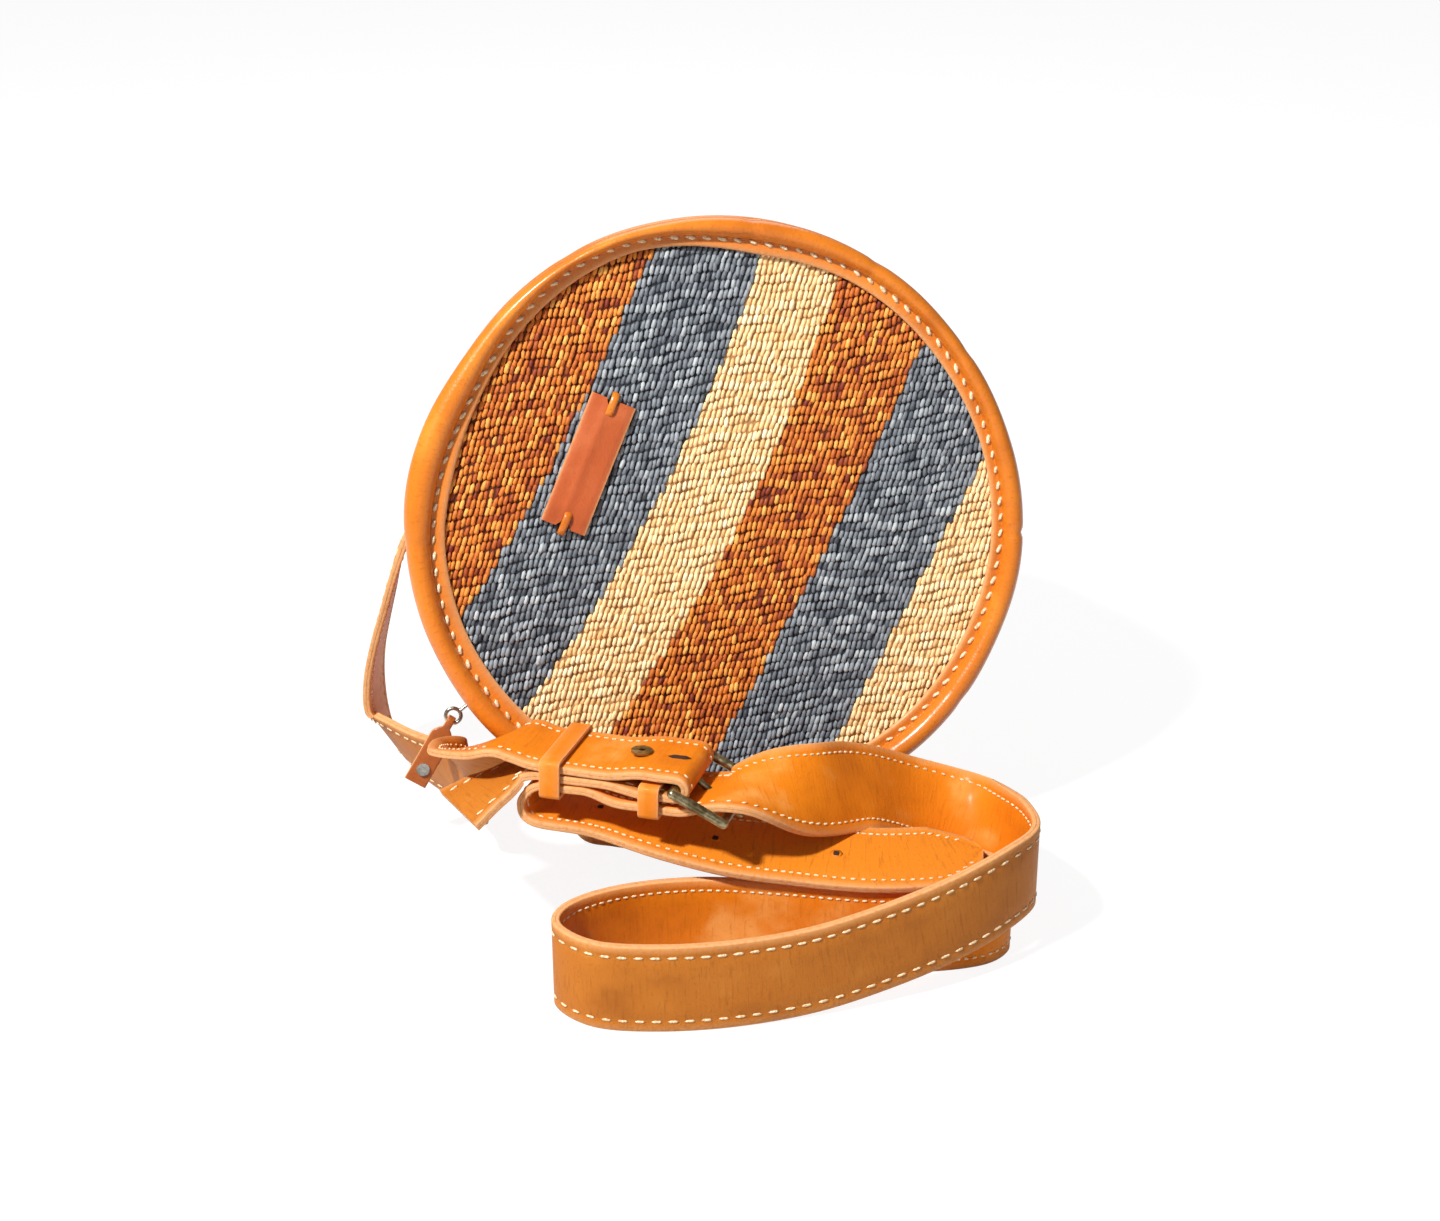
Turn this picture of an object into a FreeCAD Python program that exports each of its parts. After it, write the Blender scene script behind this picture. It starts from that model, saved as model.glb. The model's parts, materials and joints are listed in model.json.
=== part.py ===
import FreeCAD, Part
import math
import os
from FreeCAD import Vector, Placement, Rotation

# Driving dimensions in millimetres and degrees.
# Bag body: a short drum, leaning back, with its back rim on the floor.
LEAN = 15.0
ROLL_RADIUS = 4.5
ROLL_CENTRE_RADIUS = 97.5
ROLL_CENTRE_DEPTH = 37.5
FLANGE_INNER_RADIUS = 89.5
FLANGE_THICK = 1.4
LEG_THICK = 1.3
LEG_REACH = 3.0
PANEL_THICK = 2.4
LINING_THICK = 0.8
GUSSET_THICK = 2.0
CLEAR = 0.3

# Zip in the upper left of the gusset, nearer the front than the back.
ZIP_START = 90.0
ZIP_END = 223.0
ZIP_DEPTH = 9.0
ZIP_OPENING = 7.0
TAPE_WIDTH = 10.0
TAPE_THICK = 1.1
TOOTH_HEIGHT = 2.3
TOOTH_DEPTH = 1.7
TOOTH_LENGTH = 1.8
TOOTH_PITCH_DEG = 1.75
TOOTH_SLOT = 1.4
STOP_LENGTH_DEG = 1.6
SLIDER_FROM_END = 6.0
SLIDER_LENGTH = 10.0
SLIDER_PLATE = 1.0
SLIDER_WEB = 0.9
BRIDGE_BAR = 1.0
BRIDGE_WIDTH = 1.4
PULL_WIRE = 1.3
PULL_LENGTH = 19.0
PULL_LEAN = -2.0
PULL_GAUGE = 5.0
RING_RADIUS = 2.6
TAB_LEAN = 20.5
TAB_LENGTH = 24.0
TAB_WIDTH = 8.0
TAB_THICK = 2.0
TAB_NECK = 2.6
TAB_NECK_WALL = 0.85
TAB_RIVET_HEAD = 4.4
TAB_RIVET_SHANK = 2.0
TAB_RIVET_HEAD_THICK = 0.8

# Small blank leather label laced to the front panel.
LABEL_WIDTH = 15.3
LABEL_LENGTH = 44.7
LABEL_THICK = 1.6
LABEL_RADIUS = 47.0
LABEL_ANGLE = 155.5
LABEL_NOTCH = 3.5
LABEL_HOLE = 2.6
LABEL_HOLE_INSET = 8.0
LACE_WIDTH = 1.6
LACE_THICK = 1.0

# Strap of two stitched leather layers, and its buckle.
STRAP_WIDTH = 30.0
LAYER_THICK = 1.25
LAYER_SEAM = 0.1
STRAP_RADIUS_GAP = 0.6
STAND_GAP = 0.05
BUCKLE_STRAP_DEPTH = -14.0
LONG_STRAP_DEPTH = 0.0
TIP_LENGTH = 15.0
TIP_WIDTH = 3.0
HOLE_PITCH = 38.5
HOLE_FROM_TIP = 47.0
HOLE_SIZE = 3.0
HOLE_COUNT = 3
BUCKLE_AT = (-19.6, -103.0, 60.5)
BUCKLE_HEADING = -23.0
BUCKLE_ROLL = -5.0
FRAME_WIRE = 3.2
FRAME_INNER_WIDTH = 32.0
FRAME_REACH = 18.0
FRAME_TILT = 25.0
PRONG_WIRE = 2.2
PRONG_REACH = 21.5
PRONG_SLOT = 3.6
PRONG_SLOT_LENGTH = 9.0
PRONG_SLOT_AT = 8.5
EYELET_AT = -15.0
EYELET_FLANGE = 6.8
EYELET_BORE = 2.0
EYELET_BARREL = 3.6
EYELET_FLANGE_THICK = 0.7
FIXED_KEEPER_AT = -8.0
SLIDING_KEEPER_AT = -40.0
KEEPER_LENGTH = 6.5
KEEPER_WALL = 1.4
KEEPER_SIDE_GAP = 0.6

# Sizes that follow from the ones above.
SLIDER_ANGLE = ZIP_END - SLIDER_FROM_END
PULL_ANGLE = SLIDER_ANGLE + PULL_LEAN
TAB_ANGLE = SLIDER_ANGLE + TAB_LEAN
GUSSET_OUTER = ROLL_CENTRE_RADIUS - 1.5
GUSSET_INNER = GUSSET_OUTER - GUSSET_THICK
PANEL_FRONT = ROLL_CENTRE_DEPTH - 1.5
PANEL_BACK = PANEL_FRONT - PANEL_THICK
PANEL_RADIUS = ROLL_CENTRE_RADIUS - ROLL_RADIUS - 0.1
GUSSET_HALF = PANEL_BACK - 2 * CLEAR - 0.2
STRAP_THICK = 2 * LAYER_THICK + LAYER_SEAM
HALF_STRAP = STRAP_THICK / 2
STRAP_RADIUS = GUSSET_OUTER + STRAP_RADIUS_GAP + HALF_STRAP
BAR_LEVEL = FRAME_WIRE / 2 + CLEAR + HALF_STRAP
PAIR_LEVEL = HALF_STRAP + CLEAR
BILLET_LEVEL = PAIR_LEVEL + STRAP_THICK + 2 * CLEAR
LOW_BILLET_LEVEL = BAR_LEVEL + STRAP_THICK + EYELET_FLANGE_THICK + 3 * CLEAR
PRONG_TILT = FRAME_TILT + math.degrees(math.asin(
    (FRAME_WIRE / 2 + PRONG_WIRE / 2 + 2 * CLEAR) / FRAME_REACH))

nodes = {}
turn = math.radians


def bag_place():
    lean = turn(LEAN)
    height = ROLL_CENTRE_RADIUS * math.cos(lean) + ROLL_CENTRE_DEPTH * math.sin(lean) + ROLL_RADIUS
    return Placement(Vector(0, 0, height), Rotation(Vector(1, 0, 0), -LEAN))


BAG = bag_place()
BUCKLE = Placement(Vector(*BUCKLE_AT), Rotation(Vector(0, 0, 1), BUCKLE_HEADING)
                   * Rotation(Vector(1, 0, 0), BUCKLE_ROLL))


def polar(radius, angle, depth):
    # A point of the drum: angle anticlockwise from the right, depth towards the front.
    return Vector(radius * math.cos(turn(angle)), -depth, radius * math.sin(turn(angle)))


def on_bag(radius, angle, depth):
    return BAG.multVec(polar(radius, angle, depth))


def at_buckle(along, across, up):
    return BUCKLE.multVec(Vector(along, across, up))


def placed(shape, placement):
    copy = shape.copy()
    copy.Placement = placement.multiply(copy.Placement)
    return copy


def ring(r0, r1, s0, s1, start=0.0, end=360.0):
    corners = [Vector(r, -s, 0) for r, s in ((r0, s0), (r1, s0), (r1, s1), (r0, s1), (r0, s0))]
    face = Part.Face(Part.makePolygon(corners))
    face.rotate(Vector(0, 0, 0), Vector(0, -1, 0), start)
    return face.revolve(Vector(0, 0, 0), Vector(0, -1, 0), end - start)


def disc(radius, s0, s1):
    return Part.makeCylinder(radius, s1 - s0, Vector(0, -s0, 0), Vector(0, -1, 0))


def rod(start, end, diameter):
    path = end.sub(start)
    return Part.makeCylinder(diameter / 2, path.Length, start, path)


def ball(centre, diameter):
    return Part.makeSphere(diameter / 2, centre)


def box(x0, x1, y0, y1, z0, z1):
    return Part.makeBox(x1 - x0, y1 - y0, z1 - z0, Vector(x0, y0, z0))


def joined(shapes):
    return shapes[0].multiFuse(shapes[1:]).removeSplitter()


def rim(side):
    # The rolled leather edge with a stitched flange on the panel and a short leg on the gusset.
    centre = Vector(0, -side * ROLL_CENTRE_DEPTH, 0)
    roll = Part.makeTorus(ROLL_CENTRE_RADIUS, ROLL_RADIUS, centre, Vector(0, -1, 0))
    flange_face = PANEL_FRONT + CLEAR
    flange = ring(FLANGE_INNER_RADIUS, ROLL_CENTRE_RADIUS, side * flange_face,
                  side * (flange_face + FLANGE_THICK))
    leg_end = ROLL_CENTRE_DEPTH - ROLL_RADIUS - LEG_REACH
    leg_inner = GUSSET_OUTER + CLEAR
    leg = ring(leg_inner, leg_inner + LEG_THICK, side * leg_end, side * ROLL_CENTRE_DEPTH)
    return joined([roll, flange, leg])


def panel(side):
    return disc(PANEL_RADIUS, min(side * PANEL_BACK, side * PANEL_FRONT),
                max(side * PANEL_BACK, side * PANEL_FRONT))


def panel_lining(side):
    face = PANEL_BACK - CLEAR
    levels = sorted((side * face, side * (face - LINING_THICK)))
    return disc(GUSSET_INNER - 2 * CLEAR - LINING_THICK, levels[0], levels[1])


def build_body():
    inner_half = PANEL_BACK - 2 * CLEAR - LINING_THICK
    nodes["front_panel"] = panel(1)
    nodes["back_panel"] = panel(-1)
    nodes["front_lining"] = panel_lining(1)
    nodes["back_lining"] = panel_lining(-1)
    nodes["front_rim"] = rim(1)
    nodes["back_rim"] = rim(-1)
    nodes["gusset_band"] = ring(GUSSET_INNER, GUSSET_OUTER, -GUSSET_HALF, GUSSET_HALF,
                                ZIP_END, ZIP_START + 360)
    lining_outer = GUSSET_INNER - CLEAR
    nodes["gusset_lining"] = ring(lining_outer - LINING_THICK, lining_outer, -inner_half + CLEAR,
                                  inner_half - CLEAR, ZIP_END + 1, ZIP_START + 359)


TAPE_OUTER = GUSSET_INNER - CLEAR
TOOTH_CENTRE = TAPE_OUTER - TAPE_THICK / 2
TOOTH_LOW = TOOTH_CENTRE - TOOTH_HEIGHT / 2
TOOTH_HIGH = TOOTH_CENTRE + TOOTH_HEIGHT / 2
PLATE_LOW = TOOTH_HIGH + CLEAR
PLATE_HIGH = PLATE_LOW + SLIDER_PLATE
CROSS_BAR_RADIUS = PLATE_HIGH + CLEAR + PULL_WIRE / 2
BRIDGE_LOW = CROSS_BAR_RADIUS + PULL_WIRE / 2 + CLEAR


def tooth_row(side):
    near = ZIP_DEPTH + side * TOOTH_SLOT / 2
    far = near + side * TOOTH_DEPTH
    block = box(TOOTH_LOW, TOOTH_HIGH, min(-near, -far), max(-near, -far),
                -TOOTH_LENGTH / 2, TOOTH_LENGTH / 2)
    first = ZIP_START + 2 * STOP_LENGTH_DEG
    count = int((ZIP_END - ZIP_START - 4 * STOP_LENGTH_DEG) / TOOTH_PITCH_DEG)
    row = []
    for k in range(count):
        tooth = block.copy()
        tooth.rotate(Vector(0, 0, 0), Vector(0, -1, 0), first + k * TOOTH_PITCH_DEG)
        row.append(tooth)
    return Part.makeCompound(row)


def zip_half(side):
    # One side of the zip: the leather facing above and the tape below it.
    facing_edge = ZIP_DEPTH + side * ZIP_OPENING / 2
    facing = sorted((facing_edge, side * GUSSET_HALF))
    tape_edge = ZIP_DEPTH + side * (TOOTH_SLOT / 2 + TOOTH_DEPTH + CLEAR)
    tape = sorted((tape_edge, tape_edge + side * TAPE_WIDTH))
    start = ZIP_START + CLEAR
    end = ZIP_END - CLEAR
    return (ring(GUSSET_INNER, GUSSET_OUTER, facing[0], facing[1], start, end),
            ring(TAPE_OUTER - TAPE_THICK, TAPE_OUTER, tape[0], tape[1], start, end))


def zip_stops():
    half = TOOTH_SLOT / 2 + TOOTH_DEPTH - CLEAR
    stops = []
    for angle in (ZIP_START + STOP_LENGTH_DEG, ZIP_END - STOP_LENGTH_DEG):
        stop = ring(TOOTH_LOW, TOOTH_HIGH, ZIP_DEPTH - half, ZIP_DEPTH + half,
                    angle - STOP_LENGTH_DEG / 2, angle + STOP_LENGTH_DEG / 2)
        stops.append(stop)
    return Part.makeCompound(stops)


def slider():
    # Built at angle zero: X outwards, Z along the zip, then turned to its place.
    half = ZIP_OPENING / 2 - CLEAR
    under = TOOTH_LOW - 1.5 * CLEAR
    y = -ZIP_DEPTH
    end = SLIDER_LENGTH / 2
    post = BRIDGE_BAR + 0.2
    top = box(PLATE_LOW, PLATE_HIGH, y - half, y + half, -end, end)
    base = box(under - SLIDER_PLATE, under, y - half, y + half, -end, end)
    web = box(under, PLATE_LOW, y - SLIDER_WEB / 2, y + SLIDER_WEB / 2, -end / 2, end / 2)
    bridge_high = BRIDGE_LOW + BRIDGE_BAR
    bar = box(BRIDGE_LOW, bridge_high, y - BRIDGE_WIDTH / 2, y + BRIDGE_WIDTH / 2, -end, end)
    posts = [box(PLATE_HIGH, bridge_high, y - BRIDGE_WIDTH / 2, y + BRIDGE_WIDTH / 2, z, z + post)
             for z in (-end, end - post)]
    body = joined([top, base, web, bar] + posts)
    body.rotate(Vector(0, 0, 0), Vector(0, -1, 0), SLIDER_ANGLE)
    return body


PULL_PIVOT = polar(CROSS_BAR_RADIUS, SLIDER_ANGLE, ZIP_DEPTH)
PULL_WAY = polar(1, PULL_ANGLE, 0)
RING_CENTRE = PULL_PIVOT + PULL_WAY * (PULL_LENGTH - RING_RADIUS)
TAB_WAY = polar(1, TAB_ANGLE, 0)
TAB_SIDE = polar(1, TAB_ANGLE + 90, 0)
TAB_PIVOT = RING_CENTRE + TAB_WAY * RING_RADIUS
FRONTWARD = Vector(0, -1, 0)


def pull():
    # A wire stirrup under the slider's bridge, a stem, and a ring turned to face the front.
    gauge = FRONTWARD * (PULL_GAUGE / 2)
    shoulder = PULL_PIVOT + PULL_WAY * (PULL_GAUGE + 1)
    wires = [rod(PULL_PIVOT - gauge, PULL_PIVOT + gauge, PULL_WIRE)]
    for side in (1, -1):
        foot = PULL_PIVOT + gauge * side
        wires += [ball(foot, PULL_WIRE), rod(foot, shoulder, PULL_WIRE)]
    stem_end = RING_CENTRE - PULL_WAY * RING_RADIUS
    wires += [ball(shoulder, PULL_WIRE), rod(shoulder, stem_end, PULL_WIRE)]
    wires.append(Part.makeTorus(RING_RADIUS, PULL_WIRE / 2, RING_CENTRE, FRONTWARD))
    return joined(wires)


def prism(points, depth_way, thickness):
    # A flat plate from corner points, its thickness centred on them.
    half = depth_way * (thickness / 2)
    corners = [p - half for p in points]
    return Part.Face(Part.makePolygon(corners + corners[:1])).extrude(depth_way * thickness)


TAB_BORE = PULL_WIRE / 2 + 2.5 * CLEAR
TAB_EYE = TAB_BORE + TAB_NECK_WALL
TAB_RIVET_AT = TAB_PIVOT + TAB_WAY * (TAB_LENGTH - TAB_WIDTH * 0.7)


def tab():
    def spot(along, across):
        return TAB_PIVOT + TAB_WAY * along + TAB_SIDE * across
    neck = TAB_NECK / 2
    half = TAB_WIDTH / 2
    eye = Part.makeCylinder(TAB_EYE, TAB_NECK, spot(0, -neck), TAB_SIDE)
    outline = [spot(TAB_EYE * 0.7, -neck), spot(TAB_EYE + 3, -half), spot(TAB_LENGTH, -half),
               spot(TAB_LENGTH, half), spot(TAB_EYE + 3, half), spot(TAB_EYE * 0.7, neck)]
    leather = joined([eye, prism(outline, FRONTWARD, TAB_THICK)])
    bore = Part.makeCylinder(TAB_BORE, TAB_NECK + 2, spot(0, -neck - 1), TAB_SIDE)
    reach = FRONTWARD * TAB_THICK
    rivet_hole = rod(TAB_RIVET_AT - reach, TAB_RIVET_AT + reach, TAB_RIVET_SHANK + 2 * CLEAR)
    return leather.cut(bore).cut(rivet_hole)


def tab_rivet():
    face = TAB_THICK / 2 + 0.1
    head = face + TAB_RIVET_HEAD_THICK
    parts = [rod(TAB_RIVET_AT - FRONTWARD * head, TAB_RIVET_AT + FRONTWARD * head, TAB_RIVET_SHANK)]
    for side in (1, -1):
        way = FRONTWARD * side
        parts.append(rod(TAB_RIVET_AT + way * face, TAB_RIVET_AT + way * head, TAB_RIVET_HEAD))
    return joined(parts)


def build_zip():
    for name, side in (("front", 1), ("back", -1)):
        facing, tape = zip_half(side)
        nodes["zip_facing_" + name] = facing
        nodes["zip_tape_" + name] = tape
        nodes["zip_teeth_" + name] = tooth_row(side)
    nodes["zip_stops"] = zip_stops()
    nodes["zip_slider"] = slider()
    nodes["zip_pull"] = pull()
    nodes["zip_tab"] = tab()
    nodes["zip_tab_rivet"] = tab_rivet()


def label_spot(along, across, depth):
    # Along runs up the label, which lies square to the direction of the zip.
    middle = polar(LABEL_RADIUS, LABEL_ANGLE, depth)
    return middle + polar(1, LABEL_ANGLE - 90, 0) * along + polar(1, LABEL_ANGLE, 0) * across


def label():
    half = LABEL_WIDTH / 2
    end = LABEL_LENGTH / 2
    middle = PANEL_FRONT + CLEAR + LABEL_THICK / 2
    outline = [(-end, -half), (end, -half), (end - LABEL_NOTCH, 0), (end, half), (-end, half),
               (-end + LABEL_NOTCH, 0)]
    plate = prism([label_spot(a, b, middle) for a, b in outline], FRONTWARD, LABEL_THICK)
    for side in (1, -1):
        spot = side * (end - LABEL_HOLE_INSET)
        hole = rod(label_spot(spot, 0, middle - LABEL_THICK), label_spot(spot, 0, middle + LABEL_THICK),
                   LABEL_HOLE)
        plate = plate.cut(hole)
    return plate


def lace(side):
    # A short thong from the label's hole, over its notched end and back to the panel.
    half = LACE_WIDTH / 2
    low = PANEL_FRONT + CLEAR
    high = low + LABEL_THICK + CLEAR + LACE_THICK
    inner = LABEL_LENGTH / 2 - LABEL_HOLE_INSET - half
    outer = LABEL_LENGTH / 2 - LABEL_NOTCH + 3 * CLEAR + LACE_THICK
    profile = [(inner, low), (inner + LACE_WIDTH, low), (inner + LACE_WIDTH, high - LACE_THICK),
               (outer - LACE_THICK, high - LACE_THICK), (outer - LACE_THICK, low), (outer, low),
               (outer, high), (inner, high)]
    points = [label_spot(side * a, 0, depth) for a, depth in profile]
    return prism(points, polar(1, LABEL_ANGLE, 0), LACE_WIDTH)


def build_label():
    nodes["label"] = label()
    nodes["label_lace_upper"] = lace(1)
    nodes["label_lace_lower"] = lace(-1)


# Strap routes: centre points with the direction of the strap's first edge, chosen by hand.
FRONT_EDGE = BAG.Rotation.multVec(Vector(0, -1, 0))
BACK_EDGE = FRONT_EDGE * -1
FAR_EDGE = BUCKLE.Rotation.multVec(Vector(0, 1, 0))
NEAR_EDGE = FAR_EDGE * -1
UP = Vector(0, 0, 1)


def sewn(first, last, steps, depth, edge):
    # The part of a strap that lies on the gusset between two angles.
    angles = [first + (last - first) * k / steps for k in range(steps + 1)]
    return [(on_bag(STRAP_RADIUS, a, depth), edge) for a in angles]


def way(x, y, z, ex, ey, ez):
    return (Vector(x, y, z), Vector(ex, ey, ez))


def standing(points):
    return [(Vector(x, y, z), UP) for x, y, z in points]


def stacked(levels, edge):
    return [(at_buckle(along, 0, up), edge) for along, up in levels]


def long_route():
    flat = HALF_STRAP + CLEAR
    stand = STRAP_WIDTH / 2 + STAND_GAP
    hairpin = [way(-48, -22.5, 20.5, 0, 1, -0.2), way(-53, -24, 12, 0, 1, -0.1),
               way(-46, -27, flat + 1.5, 0, 1, 0), way(-33, -31, flat, 0.3, 1, 0)]
    floor = [way(-14, -40, flat, 0.45, 0.89, 0), way(6, -57, flat, 0.6, 0.8, 0),
             way(25, -76, flat + 0.2, 0.7, 0.7, 0), way(42, -93, flat + 3.2, 0.68, 0.7, 0.2),
             way(54, -103, 11.4, 0.5, 0.5, 0.67), way(66, -111, 15.2, 0.15, 0.15, 0.97)]
    right_turn = standing([(76, -116, stand), (80, -124, stand), (71, -131.5, stand), (52, -133, stand)])
    inner_layer = standing([(31, -130, stand), (8, -123, stand), (-18, -117, stand), (-42, -118, stand)])
    left_turn = standing([(-59, -125, stand), (-64, -136, stand), (-54, -148, stand), (-35, -153, stand)])
    front_band = standing([(-12, -154, stand + 0.2), (12, -152, 16.5), (35, -148, 20), (57, -142.5, 24.5),
                           (76, -134, 29)])
    upper_band = standing([(88, -122, 31.5)])
    twist = [way(88, -105, 31.5, 0, 0.28, 0.96), way(77, -88.5, 31.5, 0, 0.66, 0.75),
             way(59, -85, 36.5, 0.1, 0.86, 0.5), way(39, -94, 44.4, 0.2, 0.91, 0.36),
             way(20, -105, 52.4, 0.3, 0.92, 0.22)]
    frame_end = FRAME_REACH * math.cos(turn(FRAME_TILT))
    frame_drop = FRAME_REACH * math.sin(turn(FRAME_TILT))
    over_frame = BAR_LEVEL - frame_drop + 0.2
    stack = stacked([(frame_end, over_frame), (2, -LOW_BILLET_LEVEL), (-9, -LOW_BILLET_LEVEL),
                     (-19, -LOW_BILLET_LEVEL), (-28, -BILLET_LEVEL), (-36, -BILLET_LEVEL),
                     (-43.5, -BILLET_LEVEL)], FAR_EDGE)
    curl = stacked([(-48, -7.5), (-50, -12.5), (-46, -17.5)], FAR_EDGE)
    billet = [way(-44, -91.5, 41.5, 0.42, 0.9, 0), way(-24.6, -102, 38, 0.38, 0.92, 0),
              way(-6, -109.5, 35, 0.32, 0.94, 0), way(12, -115, 33.2, 0.25, 0.96, 0),
              way(35, -119.5, 32.6, 0.18, 0.98, 0), way(55, -120.5, 32.6, 0.08, 0.99, 0),
              way(72, -118, 32.8, -0.05, 0.99, 0)]
    return (sewn(263, 248, 3, LONG_STRAP_DEPTH, BACK_EDGE) + hairpin + floor + right_turn + inner_layer
            + left_turn + front_band + upper_band + twist + stack + curl + billet)


def buckle_route():
    left = -ROLL_CENTRE_RADIUS
    hanging = [way(left - 7, 12.5, 92, -0.02, -0.95, 0.3), way(left - 14, 18, 68, -0.05, -0.93, 0.36),
               way(left - 19.5, 24, 43, -0.1, -0.91, 0.39)]
    bend = [way(left - 20, 26, 26.5, -0.18, -0.84, 0.5), way(left - 16.5, 20.5, 17, -0.22, -0.66, 0.72),
            way(left - 9, 8, 15.2, -0.22, -0.46, 0.86)]
    ramp = [way(-95, -10, 16.2, -0.2, -0.35, 0.92), way(-86, -31, 21.5, -0.1, -0.3, 0.95),
            way(-87, -48, 35, -0.25, -0.38, 0.87), way(-84, -65, 51.3, -0.27, -0.68, 0.65),
            way(-75.5, -77.5, 62.4, -0.35, -0.89, 0.26)]
    main = stacked([(-54, PAIR_LEVEL + 1.9), (-46, PAIR_LEVEL + 0.1), (-34, PAIR_LEVEL), (-22, PAIR_LEVEL),
                    (-12, BAR_LEVEL), (-6, BAR_LEVEL), (0, BAR_LEVEL)], NEAR_EDGE)
    side = BAR_LEVEL * math.sqrt(0.5)
    fold = stacked([(side, side), (BAR_LEVEL, 0), (side, -side), (0, -BAR_LEVEL)], NEAR_EDGE)
    under = stacked([(-6, -BAR_LEVEL), (-12, -BAR_LEVEL), (-22, -PAIR_LEVEL), (-34, -PAIR_LEVEL),
                     (-46, -PAIR_LEVEL - 0.2)], NEAR_EDGE)
    tail = [way(-72, -84.3, 54.6, -0.3, -0.93, 0.14), way(-81.5, -88.5, 51, -0.05, -0.97, 0.05),
            way(-91, -92.5, 46.5, 0.2, -0.97, 0)]
    return (sewn(47, 167, 12, BUCKLE_STRAP_DEPTH, FRONT_EDGE) + hanging + bend + ramp + main + fold
            + under + tail)


ROUTE_STEPS = 4


def smooth(values, k, t):
    # One point of the curve that passes through every route point in turn.
    last = len(values) - 1
    b, c = values[k], values[k + 1]
    a = values[k - 1] if k > 0 else b * 2 - c
    d = values[k + 2] if k + 2 <= last else c * 2 - b
    return (b * 2 + (c - a) * t + (a * 2 - b * 5 + c * 4 - d) * t ** 2
            + (b * 3 - a - c * 3 + d) * t ** 3) * 0.5


def strap_frames(route):
    # Centre, direction, edge direction and outward direction all along a route.
    points = [p for p, edge in route]
    edges = [edge for p, edge in route]
    centres, sides = [], []
    for k in range(len(points) - 1):
        for step in range(ROUTE_STEPS):
            centres.append(smooth(points, k, step / ROUTE_STEPS))
            sides.append(smooth(edges, k, step / ROUTE_STEPS))
    centres.append(points[-1])
    sides.append(edges[-1])
    frames = []
    for k, centre in enumerate(centres):
        run = centres[min(k + 1, len(centres) - 1)] - centres[max(k - 1, 0)]
        run.normalize()
        side = sides[k] - run * run.dot(sides[k])
        side.normalize()
        frames.append((centre, run, side, run.cross(side)))
    return frames


def distances(frames):
    total = [0.0]
    for a, b in zip(frames, frames[1:]):
        total.append(total[-1] + (b[0] - a[0]).Length)
    return total


def layer(frames, widths, inner, outer):
    wires = []
    for (centre, run, side, out), width in zip(frames, widths):
        half = side * (width / 2)
        corners = [centre + half + out * outer, centre - half + out * outer,
                   centre - half + out * inner, centre + half + out * inner]
        wires.append(Part.makePolygon(corners + corners[:1]))
    return Part.makeLoft(wires, True, True)


def two_layers(frames, widths):
    seam = LAYER_SEAM / 2
    return (layer(frames, widths, seam, HALF_STRAP), layer(frames, widths, -HALF_STRAP, -seam))


def frame_at(frames, gone, distance):
    k = min(range(len(gone)), key=lambda i: abs(gone[i] - distance))
    return frames[k]


def punch(frame, size):
    centre, run, side, out = frame
    return rod(centre - out * STRAP_THICK, centre + out * STRAP_THICK, size)


def build_long_strap():
    frames = strap_frames(long_route())
    gone = distances(frames)
    tip = [min(1.0, (gone[-1] - g) / TIP_LENGTH) for g in gone]
    widths = [TIP_WIDTH + (STRAP_WIDTH - TIP_WIDTH) * math.sqrt(max(t, 0.0)) for t in tip]
    cuts = [punch(frame_at(frames, gone, gone[-1] - HOLE_FROM_TIP - k * HOLE_PITCH), HOLE_SIZE)
            for k in range(HOLE_COUNT)]
    reach = STRAP_THICK + 2
    level = -LOW_BILLET_LEVEL + 1
    slot = box(PRONG_SLOT_AT - PRONG_SLOT_LENGTH / 2, PRONG_SLOT_AT + PRONG_SLOT_LENGTH / 2,
               -PRONG_SLOT / 2, PRONG_SLOT / 2, level - reach, level + reach)
    cuts.append(placed(slot, BUCKLE))
    outer, inner = two_layers(frames, widths)
    nodes["long_strap"] = outer.cut(Part.makeCompound(cuts))
    nodes["long_strap_lining"] = inner.cut(Part.makeCompound(cuts))
    print("long strap length", round(gone[-1]))


def build_buckle_strap():
    frames = strap_frames(buckle_route())
    widths = [STRAP_WIDTH] * len(frames)
    outside = BAR_LEVEL + STRAP_THICK
    slot = box(-outside - 1, outside, -PRONG_SLOT / 2, PRONG_SLOT / 2, -outside, outside)
    eyelet_hole = Part.makeCylinder(EYELET_BARREL / 2 + CLEAR, 4 * outside,
                                    Vector(EYELET_AT, 0, -2 * outside))
    cuts = Part.makeCompound([placed(slot, BUCKLE), placed(eyelet_hole, BUCKLE)])
    outer, inner = two_layers(frames, widths)
    nodes["buckle_strap"] = outer.cut(cuts)
    nodes["buckle_strap_lining"] = inner.cut(cuts)
    print("buckle strap length", round(distances(frames)[-1]))


def buckle_frame():
    side = FRAME_INNER_WIDTH / 2 + FRAME_WIRE / 2
    corners = [Vector(0, -side, 0), Vector(0, side, 0), Vector(FRAME_REACH, side, 0),
               Vector(FRAME_REACH, -side, 0)]
    wires = []
    for a, b in zip(corners, corners[1:] + corners[:1]):
        wires += [rod(a, b, FRAME_WIRE), ball(a, FRAME_WIRE)]
    frame = joined(wires)
    frame.rotate(Vector(0, 0, 0), Vector(0, 1, 0), FRAME_TILT)
    return frame


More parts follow.
